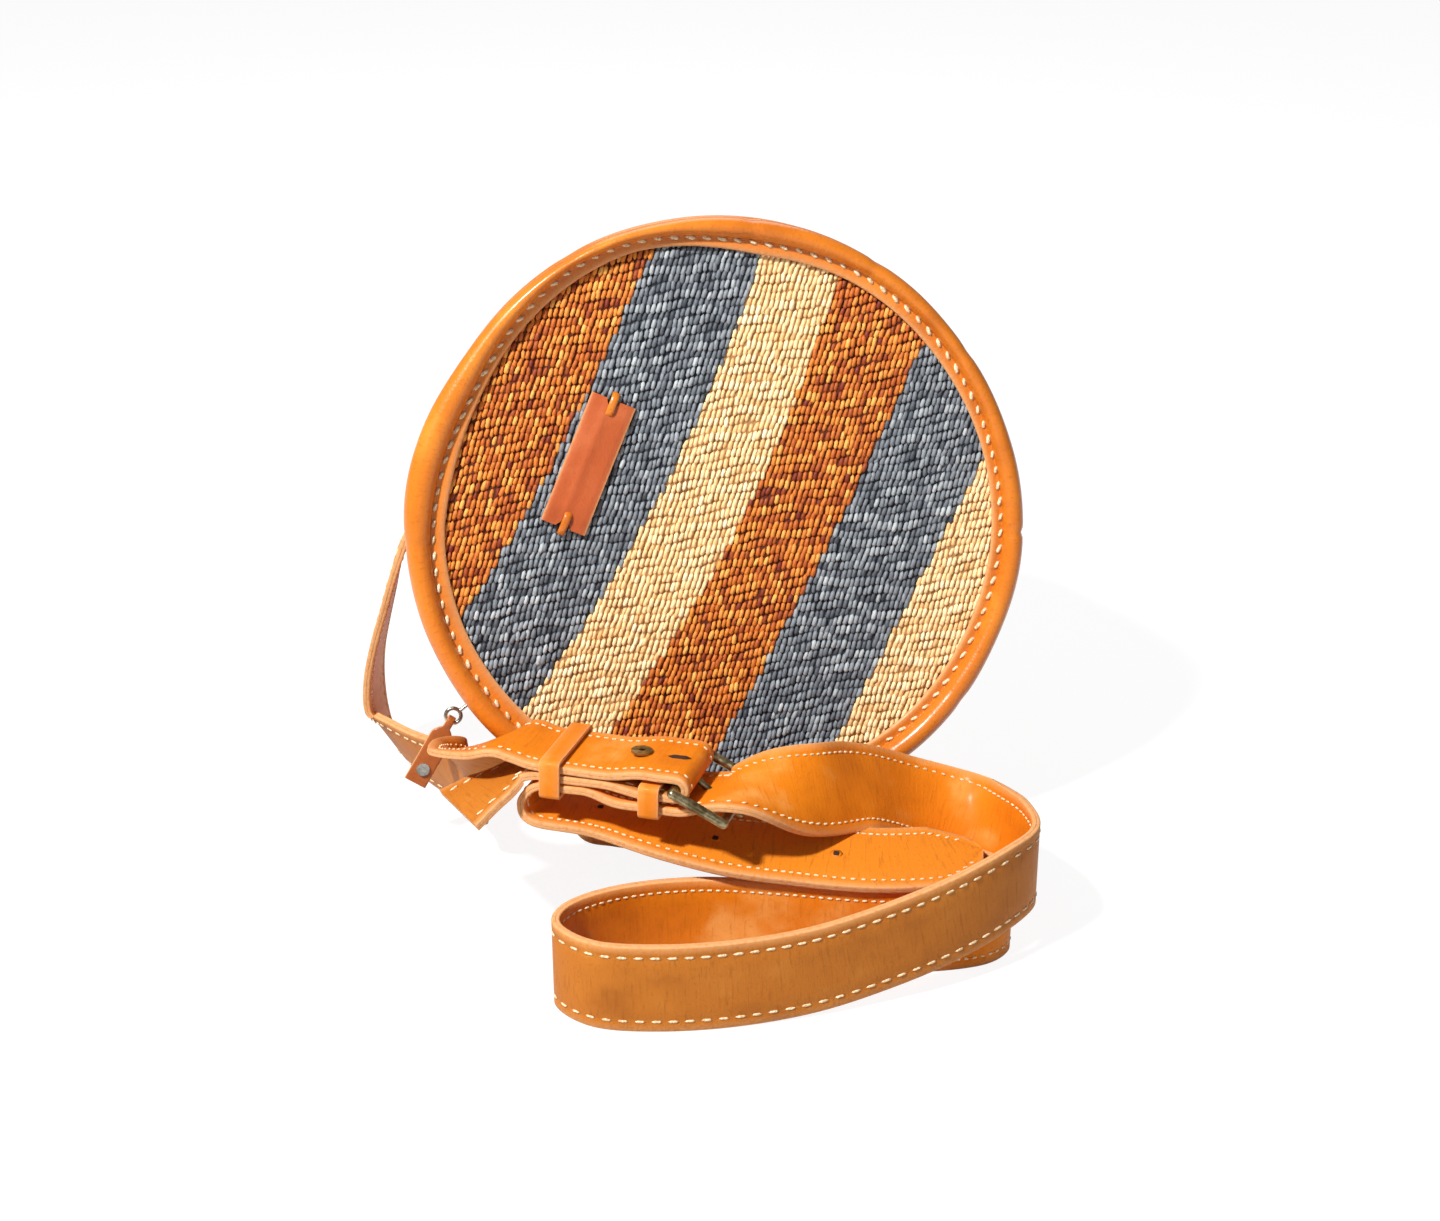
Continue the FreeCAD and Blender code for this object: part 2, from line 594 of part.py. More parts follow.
def buckle_prong():
    bore = FRAME_WIRE / 2 + CLEAR
    eye = Part.makeCylinder(bore + PRONG_WIRE * 0.7, PRONG_WIRE, Vector(0, -PRONG_WIRE / 2, 0),
                            Vector(0, 1, 0))
    tongue = rod(Vector(bore, 0, 0), Vector(PRONG_REACH, 0, 0), PRONG_WIRE)
    hole = Part.makeCylinder(bore, 2 * PRONG_WIRE, Vector(0, -PRONG_WIRE, 0), Vector(0, 1, 0))
    prong = joined([eye, tongue, ball(Vector(PRONG_REACH, 0, 0), PRONG_WIRE)]).cut(hole)
    prong.rotate(Vector(0, 0, 0), Vector(0, 1, 0), PRONG_TILT)
    return prong


def eyelet():
    # Two flanges and a barrel that hold the folded strap together.
    level = BAR_LEVEL + HALF_STRAP + CLEAR
    top = level + EYELET_FLANGE_THICK
    at = Vector(EYELET_AT, 0, -top)
    barrel = Part.makeCylinder(EYELET_BARREL / 2, 2 * top, at)
    flanges = [Part.makeCylinder(EYELET_FLANGE / 2, EYELET_FLANGE_THICK, Vector(EYELET_AT, 0, z))
               for z in (level, -top)]
    return joined([barrel] + flanges).cut(Part.makeCylinder(EYELET_BORE / 2, 2 * top, at))


def keeper(along, top, bottom):
    # A leather loop round the strap layers between two levels.
    half = STRAP_WIDTH / 2 + KEEPER_SIDE_GAP
    end = KEEPER_LENGTH / 2
    outside = box(along - end, along + end, -half - KEEPER_WALL, half + KEEPER_WALL,
                  bottom - KEEPER_WALL, top + KEEPER_WALL)
    return outside.cut(box(along - 2 * end, along + 2 * end, -half, half, bottom, top))


def build_buckle():
    nodes["buckle_frame"] = buckle_frame()
    nodes["buckle_prong"] = buckle_prong()
    nodes["strap_eyelet"] = eyelet()
    nodes["fixed_keeper"] = keeper(FIXED_KEEPER_AT, -KEEPER_WALL / 2,
                                   -LOW_BILLET_LEVEL - HALF_STRAP - CLEAR)
    nodes["sliding_keeper"] = keeper(SLIDING_KEEPER_AT, PAIR_LEVEL + HALF_STRAP + 2 * CLEAR,
                                     -BILLET_LEVEL - HALF_STRAP - 2 * CLEAR)


def place_groups():
    build_body()
    build_zip()
    build_label()
    for name in list(nodes):
        nodes[name] = placed(nodes[name], BAG)
    first = set(nodes)
    build_buckle()
    for name in set(nodes) - first:
        nodes[name] = placed(nodes[name], BUCKLE)
    build_long_strap()
    build_buckle_strap()


def overall_shift():
    whole = FreeCAD.BoundBox()
    for shape in nodes.values():
        whole.add(shape.optimalBoundingBox(False, False))
    print("size", round(whole.XLength, 2), round(whole.YLength, 2), round(whole.ZLength, 2),
          "low", round(whole.ZMin, 3))
    return Vector(-whole.Center.x, -whole.Center.y, 0)


def report(name, point, shift):
    moved = point + shift
    print(name, [round(v / 1000, 6) for v in (moved.x, moved.y, moved.z)])


def report_way(name, rotation, axis):
    turned = rotation.multVec(axis)
    print(name, [round(v, 6) for v in (turned.x, turned.y, turned.z)])


def main():
    os.makedirs("parts", exist_ok=True)
    place_groups()
    shift = overall_shift()
    for name, shape in nodes.items():
        shape.translate(shift)
        shape.exportStep("parts/" + name + ".step")
        if not shape.isValid():
            print("not valid", name)
    report("shift", Vector(0, 0, 0), shift)
    report("drum centre", BAG.Base, shift)
    report_way("drum axis to the front", BAG.Rotation, FRONTWARD)
    report("pull pivot", BAG.multVec(PULL_PIVOT), shift)
    report("tab pivot", BAG.multVec(TAB_PIVOT), shift)
    report_way("tab axis", BAG.Rotation, TAB_SIDE)
    report("buckle bar", BUCKLE.Base, shift)
    report_way("bar axis", BUCKLE.Rotation, Vector(0, 1, 0))
    report_way("strap way", BUCKLE.Rotation, Vector(1, 0, 0))


main()
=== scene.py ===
import bpy
import json
import math
import numpy as np
from mathutils import Matrix, Vector


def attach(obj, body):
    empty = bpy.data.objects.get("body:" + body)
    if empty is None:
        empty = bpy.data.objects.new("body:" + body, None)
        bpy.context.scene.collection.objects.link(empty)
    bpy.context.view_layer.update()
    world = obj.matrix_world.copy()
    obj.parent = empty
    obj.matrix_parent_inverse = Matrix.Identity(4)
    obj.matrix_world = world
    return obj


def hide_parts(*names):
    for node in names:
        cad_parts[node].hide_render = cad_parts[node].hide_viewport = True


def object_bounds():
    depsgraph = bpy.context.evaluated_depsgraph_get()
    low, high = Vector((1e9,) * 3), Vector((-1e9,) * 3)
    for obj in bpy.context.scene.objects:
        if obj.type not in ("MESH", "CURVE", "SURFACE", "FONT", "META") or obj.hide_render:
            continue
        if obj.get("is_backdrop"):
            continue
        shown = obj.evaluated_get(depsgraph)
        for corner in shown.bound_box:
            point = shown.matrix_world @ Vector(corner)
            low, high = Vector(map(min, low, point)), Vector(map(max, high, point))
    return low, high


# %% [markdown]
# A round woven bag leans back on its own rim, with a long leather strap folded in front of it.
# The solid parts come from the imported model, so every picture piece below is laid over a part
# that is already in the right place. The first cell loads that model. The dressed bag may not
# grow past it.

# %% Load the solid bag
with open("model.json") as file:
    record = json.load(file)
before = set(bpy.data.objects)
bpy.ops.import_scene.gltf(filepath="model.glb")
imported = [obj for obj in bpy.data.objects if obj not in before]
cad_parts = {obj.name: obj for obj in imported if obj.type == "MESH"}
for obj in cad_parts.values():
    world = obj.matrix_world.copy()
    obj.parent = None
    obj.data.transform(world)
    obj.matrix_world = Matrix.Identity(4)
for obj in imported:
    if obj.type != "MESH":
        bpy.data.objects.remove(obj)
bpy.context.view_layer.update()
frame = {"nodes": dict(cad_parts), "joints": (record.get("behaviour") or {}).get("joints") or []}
joints = {joint["name"]: joint for joint in frame["joints"]}

# %% [markdown]
# The bag is a short drum that leans back, and the buckle lies on a tilted strap. Two small sets
# of axes save a lot of sums: one at the middle of the drum and one at the buckle's bar. Both are
# read from the joints, which already hold those points and directions. The real bag is soft, so
# the top of its drum sinks a little towards the back. One function holds that sag, and every
# point that is placed on the drum goes through it.

# %% Axes of the drum and of the buckle
MM = 0.001
DRUM_CENTRE = np.array(joints["zip_slide"]["pos_m"]) / MM
DRUM_FRONT = np.array(joints["zip_slide"]["axis"])
DRUM_RIGHT = np.array([1.0, 0.0, 0.0])
DRUM_UP = np.cross(DRUM_FRONT, DRUM_RIGHT)
BUCKLE_BAR = np.array(joints["buckle_turn"]["pos_m"]) / MM
BUCKLE_FAR = np.array(joints["buckle_turn"]["axis"])
BUCKLE_ALONG = np.array(joints["keeper_slide"]["axis"])
BUCKLE_UP = np.cross(BUCKLE_ALONG, BUCKLE_FAR)
ROUTE_SHIFT = DRUM_CENTRE * (1, 1, 0)
SAG, SAG_RADIUS = 11.5, 97.0
SAG_START, SAG_LENGTH, SAG_MIDDLE = 6.0, 43.0, 105.0


def settle(radius, angle, depth):
    behind = np.clip((SAG_START - depth) / SAG_LENGTH, 0, 1) ** 0.5
    top = np.clip((np.cos(np.radians(angle - SAG_MIDDLE)) + 0.25) / 0.9, 0, 1)
    top = top * top * (3 - 2 * top)
    return radius - SAG * behind * top * (radius / SAG_RADIUS) ** 4


def on_drum(radius, angle, depth):
    radius, angle, depth = (np.asarray(v, float) for v in (radius, angle, depth))
    radius = settle(radius, angle, depth)
    turned = np.radians(angle)
    across = radius * np.cos(turned)
    up = radius * np.sin(turned)
    return (DRUM_CENTRE + across[..., None] * DRUM_RIGHT + up[..., None] * DRUM_UP
            + (depth + 0 * across)[..., None] * DRUM_FRONT)


def at_buckle(along, far, up):
    return BUCKLE_BAR + BUCKLE_ALONG * along + BUCKLE_FAR * far + BUCKLE_UP * up


print("drum centre", DRUM_CENTRE.round(1), "buckle bar", BUCKLE_BAR.round(1))

# %% [markdown]
# The camera stands in front of the bag, a little to its left and well above it. Its place was
# worked out from the photographed rim: a circle seen at an angle is an ellipse, and the shape of
# that ellipse gives the direction. The middle of the front rim has to land on one known spot of
# the picture, so the camera is set back from that point along the line of sight.

# %% Camera
IMAGE_WIDTH, IMAGE_HEIGHT = 1440, 1221
LOOK_DOWN, LOOK_ASIDE = math.radians(25.0), math.radians(8.0)
CAMERA_DISTANCE = 750.0
FOCAL_PIXELS = 2280.0
RIM_SPOT = (720.0, 516.0)
RIM_FACE = 37.0
SENSOR_WIDTH = 36.0
ahead = np.array([math.sin(LOOK_ASIDE) * math.cos(LOOK_DOWN),
                  math.cos(LOOK_ASIDE) * math.cos(LOOK_DOWN), -math.sin(LOOK_DOWN)])
aside = np.array([math.cos(LOOK_ASIDE), -math.sin(LOOK_ASIDE), 0.0])
above = np.cross(aside, ahead)
rim_middle = DRUM_CENTRE + DRUM_FRONT * RIM_FACE
shift_right = (RIM_SPOT[0] - IMAGE_WIDTH / 2) / FOCAL_PIXELS
shift_up = -(RIM_SPOT[1] - IMAGE_HEIGHT / 2) / FOCAL_PIXELS
stand = rim_middle - CAMERA_DISTANCE * (ahead + shift_right * aside + shift_up * above)
camera = bpy.data.objects.new("camera", bpy.data.cameras.new("camera"))
camera.data.sensor_width = SENSOR_WIDTH
camera.data.lens = FOCAL_PIXELS * SENSOR_WIDTH / IMAGE_WIDTH
camera.data.clip_start, camera.data.clip_end = 0.01, 50.0
camera.location = Vector(stand * MM)
camera.rotation_mode = "QUATERNION"
camera.rotation_quaternion = Matrix((aside, above, -ahead)).transposed().to_quaternion()
bpy.context.scene.collection.objects.link(camera)
bpy.context.scene.camera = camera
bpy.context.scene.view_settings.view_transform = "Standard"
print("camera at", camera.location, "lens", camera.data.lens)

# %% [markdown]
# A material is a small graph of nodes. Writing it as sums is easier to read, so one class wraps a
# value and lets plus, minus and times add Math nodes.

# %% Writing materials as sums


class Wire:
    def __init__(self, paint, socket):
        self.paint, self.socket = paint, socket

    def __add__(self, other):
        return self.paint.maths("ADD", self, other)

    def __sub__(self, other):
        return self.paint.maths("SUBTRACT", self, other)

    def __rsub__(self, other):
        return self.paint.maths("SUBTRACT", other, self)

    def __mul__(self, other):
        return self.paint.maths("MULTIPLY", self, other)

    def __gt__(self, other):
        return self.paint.maths("GREATER_THAN", self, other)

    __radd__ = __add__
    __rmul__ = __mul__


print("sums ready")

# %% [markdown]
# A second class holds the material itself. It adds any other node by its type, first with the
# node's settings and then with the values or links of its sockets. Colours go through Mix nodes,
# because a Math node would make them grey.

# %% A material that takes any node


class Paint:
    def __init__(self, name, constants=None):
        self.material = bpy.data.materials.new(name)
        self.material.use_nodes = True
        self.tree = self.material.node_tree
        self.shader = self.tree.nodes["Principled BSDF"]
        for socket, value in (constants or {}).items():
            self.shader.inputs[socket].default_value = value

    def node(self, kind, settings=None, sockets=None, output=0):
        made = self.tree.nodes.new(kind)
        for key, value in (settings or {}).items():
            if key == "stops":
                self.set_stops(made.color_ramp, value)
            else:
                setattr(made, key, value)
        for key, value in (sockets or {}).items():
            if isinstance(value, Wire):
                self.tree.links.new(value.socket, made.inputs[key])
            else:
                made.inputs[key].default_value = value
        return Wire(self, made.outputs[output])

    def set_stops(self, ramp, stops):
        while len(ramp.elements) < len(stops):
            ramp.elements.new(0.5)
        for element, (place, colour) in zip(ramp.elements, stops):
            element.position, element.color = place, (*colour, 1)

    def maths(self, operation, first, second):
        return self.node("ShaderNodeMath", {"operation": operation}, {0: first, 1: second})

    def mix(self, first, second, factor):
        def full(colour):
            return colour if isinstance(colour, Wire) else (*colour, 1)
        return self.node("ShaderNodeMix", {"data_type": "RGBA", "clamp_factor": True},
                         {0: factor, 6: full(first), 7: full(second)}, 2)

    def ramp(self, value, stops):
        return self.node("ShaderNodeValToRGB", {"stops": stops}, {0: value})

    def place(self, stretch=(1, 1, 1), source="Object"):
        spot = self.node("ShaderNodeTexCoord", None, None, source)
        return self.node("ShaderNodeMapping", None, {"Vector": spot, "Scale": stretch})

    def noise(self, scale, detail=2.0, rough=0.5, stretch=(1, 1, 1), source="Object"):
        return self.node("ShaderNodeTexNoise", None,
                         {"Vector": self.place(stretch, source), "Scale": scale, "Detail": detail,
                          "Roughness": rough})

    def cells(self, scale):
        return self.node("ShaderNodeTexVoronoi", None, {"Vector": self.place(), "Scale": scale})

    def attribute(self, name):
        return self.node("ShaderNodeAttribute", {"attribute_name": name}, None, "Fac")

    def between(self, value, low, high):
        return self.node("ShaderNodeMapRange", {"interpolation_type": "SMOOTHSTEP"},
                         {0: value, 1: low, 2: high})

    def bump(self, height, distance):
        return self.node("ShaderNodeBump", None,
                         {"Strength": 1.0, "Distance": distance, "Height": height})

    def wear(self, colour=None, roughness=None, bump=None, coat=None):
        named = {"Base Color": colour, "Roughness": roughness, "Normal": bump, "Coat Weight": coat}
        for socket, wire in named.items():
            if wire is not None:
                self.tree.links.new(wire.socket, self.shader.inputs[socket])
        return self.material


print("material helpers ready")

# %% [markdown]
# The bag's leather is vegetable tanned: warm tan with paler and darker clouds, a fine pebbled
# grain and a waxy shine. Cut edges are raw, so they are pale and dull. Each leather mesh carries
# a number called raw, one at its cut edges and zero on its faces, and the material mixes the pale
# colour in there. The long strap's last stretch, the billet, is a brighter tan than the rest.

# %% Leather finishes


def leather(name, dark, base, light, raw, shine=0.4, coat=0.2, bright_from=None, gloss=0.35):
    paint = Paint(name, {"IOR": 1.45, "Specular IOR Level": gloss, "Coat Roughness": 0.2,
                         "Coat IOR": 1.45})
    clouds = paint.noise(45.0, 3.0, 0.55)
    pores = paint.noise(900.0, 3.0, 0.6)
    pebbles = paint.cells(1300.0)
    lines = paint.noise(1.0, 3.0, 0.6, (950, 9, 1), "UV")
    colour = paint.mix(dark, base, paint.between(clouds, 0.22, 0.5) * 0.6 + 0.4)
    colour = paint.mix(colour, light, paint.between(clouds, 0.5, 0.75) * 0.7)
    if bright_from:
        along = paint.node("ShaderNodeSeparateXYZ", None, {0: paint.place((1, 1, 1), "UV")})
        bright = paint.between(along, bright_from, bright_from + BILLET_BLEND)
        colour = paint.mix(colour, BRIGHT_TAN, bright * 0.85)
    colour = paint.mix(colour, dark, paint.between(lines, 0.52, 0.72) * 0.4)
    colour = paint.mix(colour, dark, paint.between(pores, 0.56, 0.7) * 0.25)
    edge = paint.attribute("raw")
    fibres = paint.noise(700.0, 2.0, 0.6)
    pale = paint.mix(raw, base, paint.between(fibres, 0.45, 0.75) * 0.45)
    colour = paint.mix(colour, pale, edge)
    roughness = shine + clouds * 0.1 + lines * 0.08 + edge * 0.25
    height = pores * 0.4 + pebbles * 0.4 + lines * 0.9
    return paint.wear(colour, roughness, paint.bump(height, 0.00012), (1 - edge) * coat)


RAW_EDGE = (0.76, 0.38, 0.16)
BRIGHT_TAN = (0.78, 0.225, 0.012)
BILLET_FROM, BILLET_BLEND = 0.70, 0.03
trim_leather = leather("trim leather", (0.44, 0.095, 0.005), (0.70, 0.190, 0.010),
                       (0.83, 0.28, 0.026), RAW_EDGE, 0.26, 0.5)
strap_face = leather("strap face leather", (0.30, 0.082, 0.008), (0.54, 0.170, 0.018),
                     (0.66, 0.25, 0.038), RAW_EDGE, 0.45, 0.08, BILLET_FROM, 0.15)
# The lining leather's pale clouds are partly its own uneven tone and partly a painted sheen.
strap_back = leather("strap lining leather", (0.48, 0.110, 0.004), (0.76, 0.205, 0.008),
                     (0.90, 0.42, 0.11), RAW_EDGE, 0.42, 0.06, None, 0.12)
# The pull tab's leather is a darker copy of the tan leather: painted shade.
tab_painted_shade_leather = leather("pull tab leather with painted shade", (0.20, 0.045, 0.008), (0.38, 0.095, 0.016),
                      (0.5, 0.15, 0.03), RAW_EDGE, 0.4, 0.25)
label_leather = leather("label leather", (0.32, 0.056, 0.010), (0.50, 0.098, 0.022),
                        (0.62, 0.165, 0.055), RAW_EDGE, 0.4, 0.2)
print("leathers", len(bpy.data.materials))

# %% [markdown]
# The buckle, the eyelet and the zip are old brass: yellow grey metal, dull where it was handled
# and darker in patches. The zip tape is a black cloth and the lining a plain cotton.

# %% Metal and cloth finishes


def old_metal(name, dark, bright, roughness):
    paint = Paint(name, {"Metallic": 1.0})
    patches = paint.noise(260.0, 4.0, 0.65)
    scratches = paint.noise(900.0, 2.0, 0.5, (1, 0.15, 1))
    colour = paint.mix(dark, bright, paint.between(patches, 0.35, 0.68))
    rough = roughness + paint.between(scratches, 0.45, 0.7) * 0.18
    return paint.wear(colour, rough, paint.bump(scratches, 0.00003))


def cloth(name, dark, light, threads):
    paint = Paint(name, {"Sheen Weight": 0.25})
    warp = paint.noise(threads, 1.0, 0.4, (1, 1, 0.12))
    weft = paint.noise(threads, 1.0, 0.4, (0.12, 0.12, 1))
    height = warp * 0.5 + weft * 0.5
    colour = paint.mix(dark, light, paint.between(height, 0.4, 0.62))
    return paint.wear(colour, 0.85 - height * 0.1, paint.bump(height, 0.0002))


old_brass = old_metal("old brass", (0.16, 0.12, 0.055), (0.50, 0.42, 0.24), 0.3)
zip_steel = old_metal("zip metal", (0.32, 0.30, 0.26), (0.66, 0.64, 0.58), 0.25)
zip_cloth = cloth("zip tape cloth", (0.006, 0.006, 0.01), (0.03, 0.03, 0.045), 1600.0)
lining_cloth = cloth("lining cotton", (0.28, 0.22, 0.15), (0.50, 0.42, 0.31), 1500.0)
print("metal and cloth ready")

# %% [markdown]
# Most soft pieces here are skins: a cross section that is repeated along a path. One helper joins
# rows of points into a closed mesh, turns its faces outwards and stores the raw edge number and a
# map of how far along and around each point is.

# %% A helper that skins rows of points
SHARP_ANGLE = math.radians(50.0)


def outward(points, quads):
    corner = points[quads]
    volume = np.einsum("ij,ij->", corner[:, 0], np.cross(corner[:, 1], corner[:, 2]))
    volume += np.einsum("ij,ij->", corner[:, 0], np.cross(corner[:, 2], corner[:, 3]))
    return volume > 0


def skin(name, rows, material, ring=False, raw=None, along=None):
    rows = np.asarray(rows, float)
    count, size = rows.shape[:2]
    index = np.arange(count * size).reshape(count, size)
    i = np.arange(count if ring else count - 1)[:, None]
    j = np.arange(size)[None, :]
    nexti, nextj = (i + 1) % count, (j + 1) % size
    quads = np.stack([index[i, j], index[i, nextj], index[nexti, nextj], index[nexti, j]], -1)
    quads = quads.reshape(-1, 4)
    faces = quads.tolist()
    if not ring:
        faces += [index[0][::-1].tolist(), index[-1].tolist()]
    points = rows.reshape(-1, 3)
    if not outward(points - points.mean(0), quads):
        faces = [face[::-1] for face in faces]
    mesh = bpy.data.meshes.new(name)
    mesh.from_pydata((points * MM).tolist(), [], faces)
    far = np.repeat(np.zeros(count) if along is None else np.asarray(along), size) * MM
    around = np.tile(np.linspace(0, 1, size, endpoint=False), count)
    layer = mesh.uv_layers.new(name="run")
    corners = np.zeros(len(mesh.loops), int)
    mesh.loops.foreach_get("vertex_index", corners)
    layer.uv.foreach_set("vector", np.stack([far[corners], around[corners]], -1).ravel())
    if raw is not None:
        edge = mesh.attributes.new("raw", "FLOAT", "POINT")
        edge.data.foreach_set("value", np.tile(np.asarray(raw, float), count))
    return finish_mesh(name, mesh, material)


def finish_mesh(name, mesh, material):
    mesh.shade_smooth()
    mesh.set_sharp_from_angle(angle=SHARP_ANGLE)
    mesh.materials.append(material)
    piece = bpy.data.objects.new(name, mesh)
    bpy.context.scene.collection.objects.link(piece)
    return piece


def dress(piece, body, slot, *nodes):
    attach(piece, body)
    if nodes:
        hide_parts(*nodes)
    return piece


print("skin helper ready")

# %% [markdown]
# The rims are leather strips folded over a cord, with a flat flange sewn on the woven face. In
# cross section that is a round roll with a thin lip on one side and a short leg on the other.
# Turning the section round the drum gives the whole rim. A few shallow creases are pressed in
# where the leather gathered, and one deeper line marks where its ends meet. The rim is not quite
# round: a table says how far its lip, its seam and its outside wander from true circles at a few
# angles, and the values are smoothed before use. The back rim, which the photograph hides,
# wanders less.

# %% Rolled rims
ROLL_RADIUS, ROLL_CENTRE, ROLL_DEPTH = 4.5, 97.5, 37.5
RIM_STEPS = 360
BACK_WANDER = 0.35
CREASES = ((82.0, 1.6, 0.5), (56.0, 1.2, 0.5), (118.0, 2.2, 0.3), (-6.0, 0.7, 0.7),
           (182.0, 2.0, 0.25), (31.0, 1.8, 0.3), (232.0, 2.0, 0.3), (320.0, 1.6, 0.3))
LIP_RADIUS, SEAM_RADIUS, OUTER_RADIUS = 89.5, 92.2, 102.0
RIM_SHAPE = np.array([
    (-90, 0.4, 2.0, 1.6), (-60, 2.2, 3.6, 3.3), (-50, 2.8, 4.2, 3.9), (-30, 1.6, 3.6, 3.4),
    (-10, 1.3, 3.0, 2.8), (10, -1.8, 1.0, 1.0), (30, -3.9, -0.5, -1.0), (60, -4.9, -1.3, -2.1),
    (80, -4.9, -3.0, -3.9),
    (90, -4.9, -2.0, -2.0), (106, -4.8, 1.2, 1.0), (120, -4.4, 1.3, 0.3), (140, -3.9, -1.6, -1.3),
    (150, -3.3, -2.6, -2.3), (160, -1.0, -1.6, -2.0), (170, 0.7, 0.0, -1.3), (180, 1.2, 1.6, 0.7),
    (200, 1.6, 3.6, 2.0), (230, 1.9, 3.8, 2.1), (250, 1.0, 2.3, 1.6), (270, 0.4, 2.0, 1.6)])


def rim_offsets(angle, side):
    turned = (np.asarray(angle, float) + 90) % 360 - 90
    angles = RIM_SHAPE[:, 0]
    weights = np.exp(-((np.arange(-12, 13) / 5.0) ** 2))
    weights = weights / weights.sum()
    fine = np.arange(-90, 270.0)
    moved = []
    for column in (3, 2, 1):
        values = np.interp(fine, angles, RIM_SHAPE[:, column])
        values = np.convolve(np.concatenate([values[-12:], values, values[:12]]), weights, "valid")
        moved.append(np.interp(turned, fine, values, period=360) * (1.0 if side > 0 else BACK_WANDER))
    return moved


def rim_section():
    lip = [(89.6, 36.45), (89.45, 37.0), (89.7, 37.5), (90.3, 37.75), (91.2, 37.8), (92.1, 37.45),
           (92.9, 37.6)]
    roll = [(ROLL_CENTRE + ROLL_RADIUS * math.cos(a), ROLL_DEPTH + ROLL_RADIUS * math.sin(a))
            for a in np.radians(np.linspace(172, -62, 26))]
    leg = [(98.0, 32.6), (97.65, 31.4), (97.5, 30.3), (97.0, 30.05), (96.5, 30.2), (96.35, 31.0)]
    inside = [(96.3, 33.2), (94.6, 35.4), (92.8, 36.36)]
    raw = [1, 1, 0.85, 0.35, 0.1, 0, 0] + [0] * len(roll) + [0, 0, 0.5, 1, 1, 0] + [0, 0, 0]
    return np.array(lip + roll + leg + inside), raw


def rim(name, side):
    section, raw = rim_section()
    angles = np.linspace(0, 360, RIM_STEPS, endpoint=False)
    sink = np.zeros(RIM_STEPS)
    for middle, width, depth in CREASES:
        gap = (angles - middle + 180) % 360 - 180
        sink += depth * np.exp(-(gap / width) ** 2)
    wave = 0.12 * np.sin(np.radians(angles * 7 + 20)) + 0.08 * np.sin(np.radians(angles * 17))
    arm = section - np.array([ROLL_CENTRE, ROLL_DEPTH])
    arm = arm / np.maximum(np.linalg.norm(arm, axis=1), 1)[:, None]
    onroll = np.clip((section[:, 0] - 92.0) / 2.0, 0, 1) * (section[:, 1] > 32.5)
    ahead_of_leg = np.clip((section[:, 1] - 31.0) / 4.5, 0, 1)
    lip, seam, outer = rim_offsets(angles, side)
    rows = []
    for k, angle in enumerate(angles):
        moved = section - arm * ((sink[k] - wave[k]) * onroll)[:, None]
        shift = np.interp(section[:, 0], [LIP_RADIUS, SEAM_RADIUS, OUTER_RADIUS],
                          [lip[k], seam[k], outer[k]])
        radius = moved[:, 0] + shift * ahead_of_leg
        rows.append(on_drum(radius, np.full(len(moved), angle), side * moved[:, 1]))
    return skin(name, rows, trim_leather, True, raw, np.radians(angles) * OUTER_RADIUS)


for rim_name, rim_side in (("front", 1), ("back", -1)):
    piece = rim(rim_name + "_rolled_rim", rim_side)
    dress(piece, "bag", "trim_leather", rim_name + "_rim")
    print(piece.name, len(piece.data.polygons), "faces")

# %% [markdown]
# The gusset is the band of leather round the drum. Part of it is split by the zip, which leaves a
# narrow strip on each side of the opening. They are the same kind of piece, a bent strip with
# soft edges, so one helper makes the band, both zip facings, both tapes and the lining.

# %% Gusset, zip facings, tapes and lining
GUSSET_OUTER, GUSSET_INNER, GUSSET_HALF = 96.0, 94.0, 32.8
ZIP_FIRST, ZIP_LAST, ZIP_MIDDLE = 90.0, 223.0, 9.0
FACING_EDGE, TAPE_EDGE, TAPE_WIDTH = 3.5, 2.7, 10.0
TAPE_INNER, TAPE_OUTER, ZIP_INSET = 92.65, 93.65, 0.3
LINING_INNER, LINING_OUTER, LINING_HALF = 92.95, 93.65, 32.0
DISC_FACE, DISC_BACK, DISC_RADIUS, DISC_STEPS = 33.2, 32.6, 92.0, 96


def strip_section(inner, outer, low, high, soft):
    middle = (inner + outer) / 2
    shares = np.linspace(0.02, 0.98, 13)
    top = [(outer - soft * (2 * t - 1) ** 6, low + (high - low) * t) for t in shares]
    base = [(inner, high - soft), (inner, (low + high) / 2), (inner, low + soft)]
    section = [(middle, low)] + top + [(middle, high)] + base
    raw = [1] + [1] + [0] * 11 + [1] + [1] + [0, 0, 0]
    return np.array(section), raw


def bent_strip(name, inner, outer, low, high, first, last, material, soft=0.4):
    section, raw = strip_section(inner, outer, low, high, soft)
    angles = np.linspace(first, last, max(8, int((last - first) * 0.75)))
    rows = [on_drum(section[:, 0], np.full(len(section), a), section[:, 1]) for a in angles]
    return skin(name, rows, material, False, raw, np.radians(angles) * outer)


def lining_disc(name, side):
    face, back = side * DISC_FACE, side * DISC_BACK
    path = [(0.5, back), (45, back), (DISC_RADIUS, back), (DISC_RADIUS + 0.6, (face + back) / 2),
            (DISC_RADIUS, face), (45, face), (0.5, face)]
    angles = np.linspace(0, 360, DISC_STEPS, endpoint=False)
    rows = [on_drum(np.full(DISC_STEPS, r), angles, np.full(DISC_STEPS, s)) for r, s in path]
    return skin(name, rows, lining_cloth)


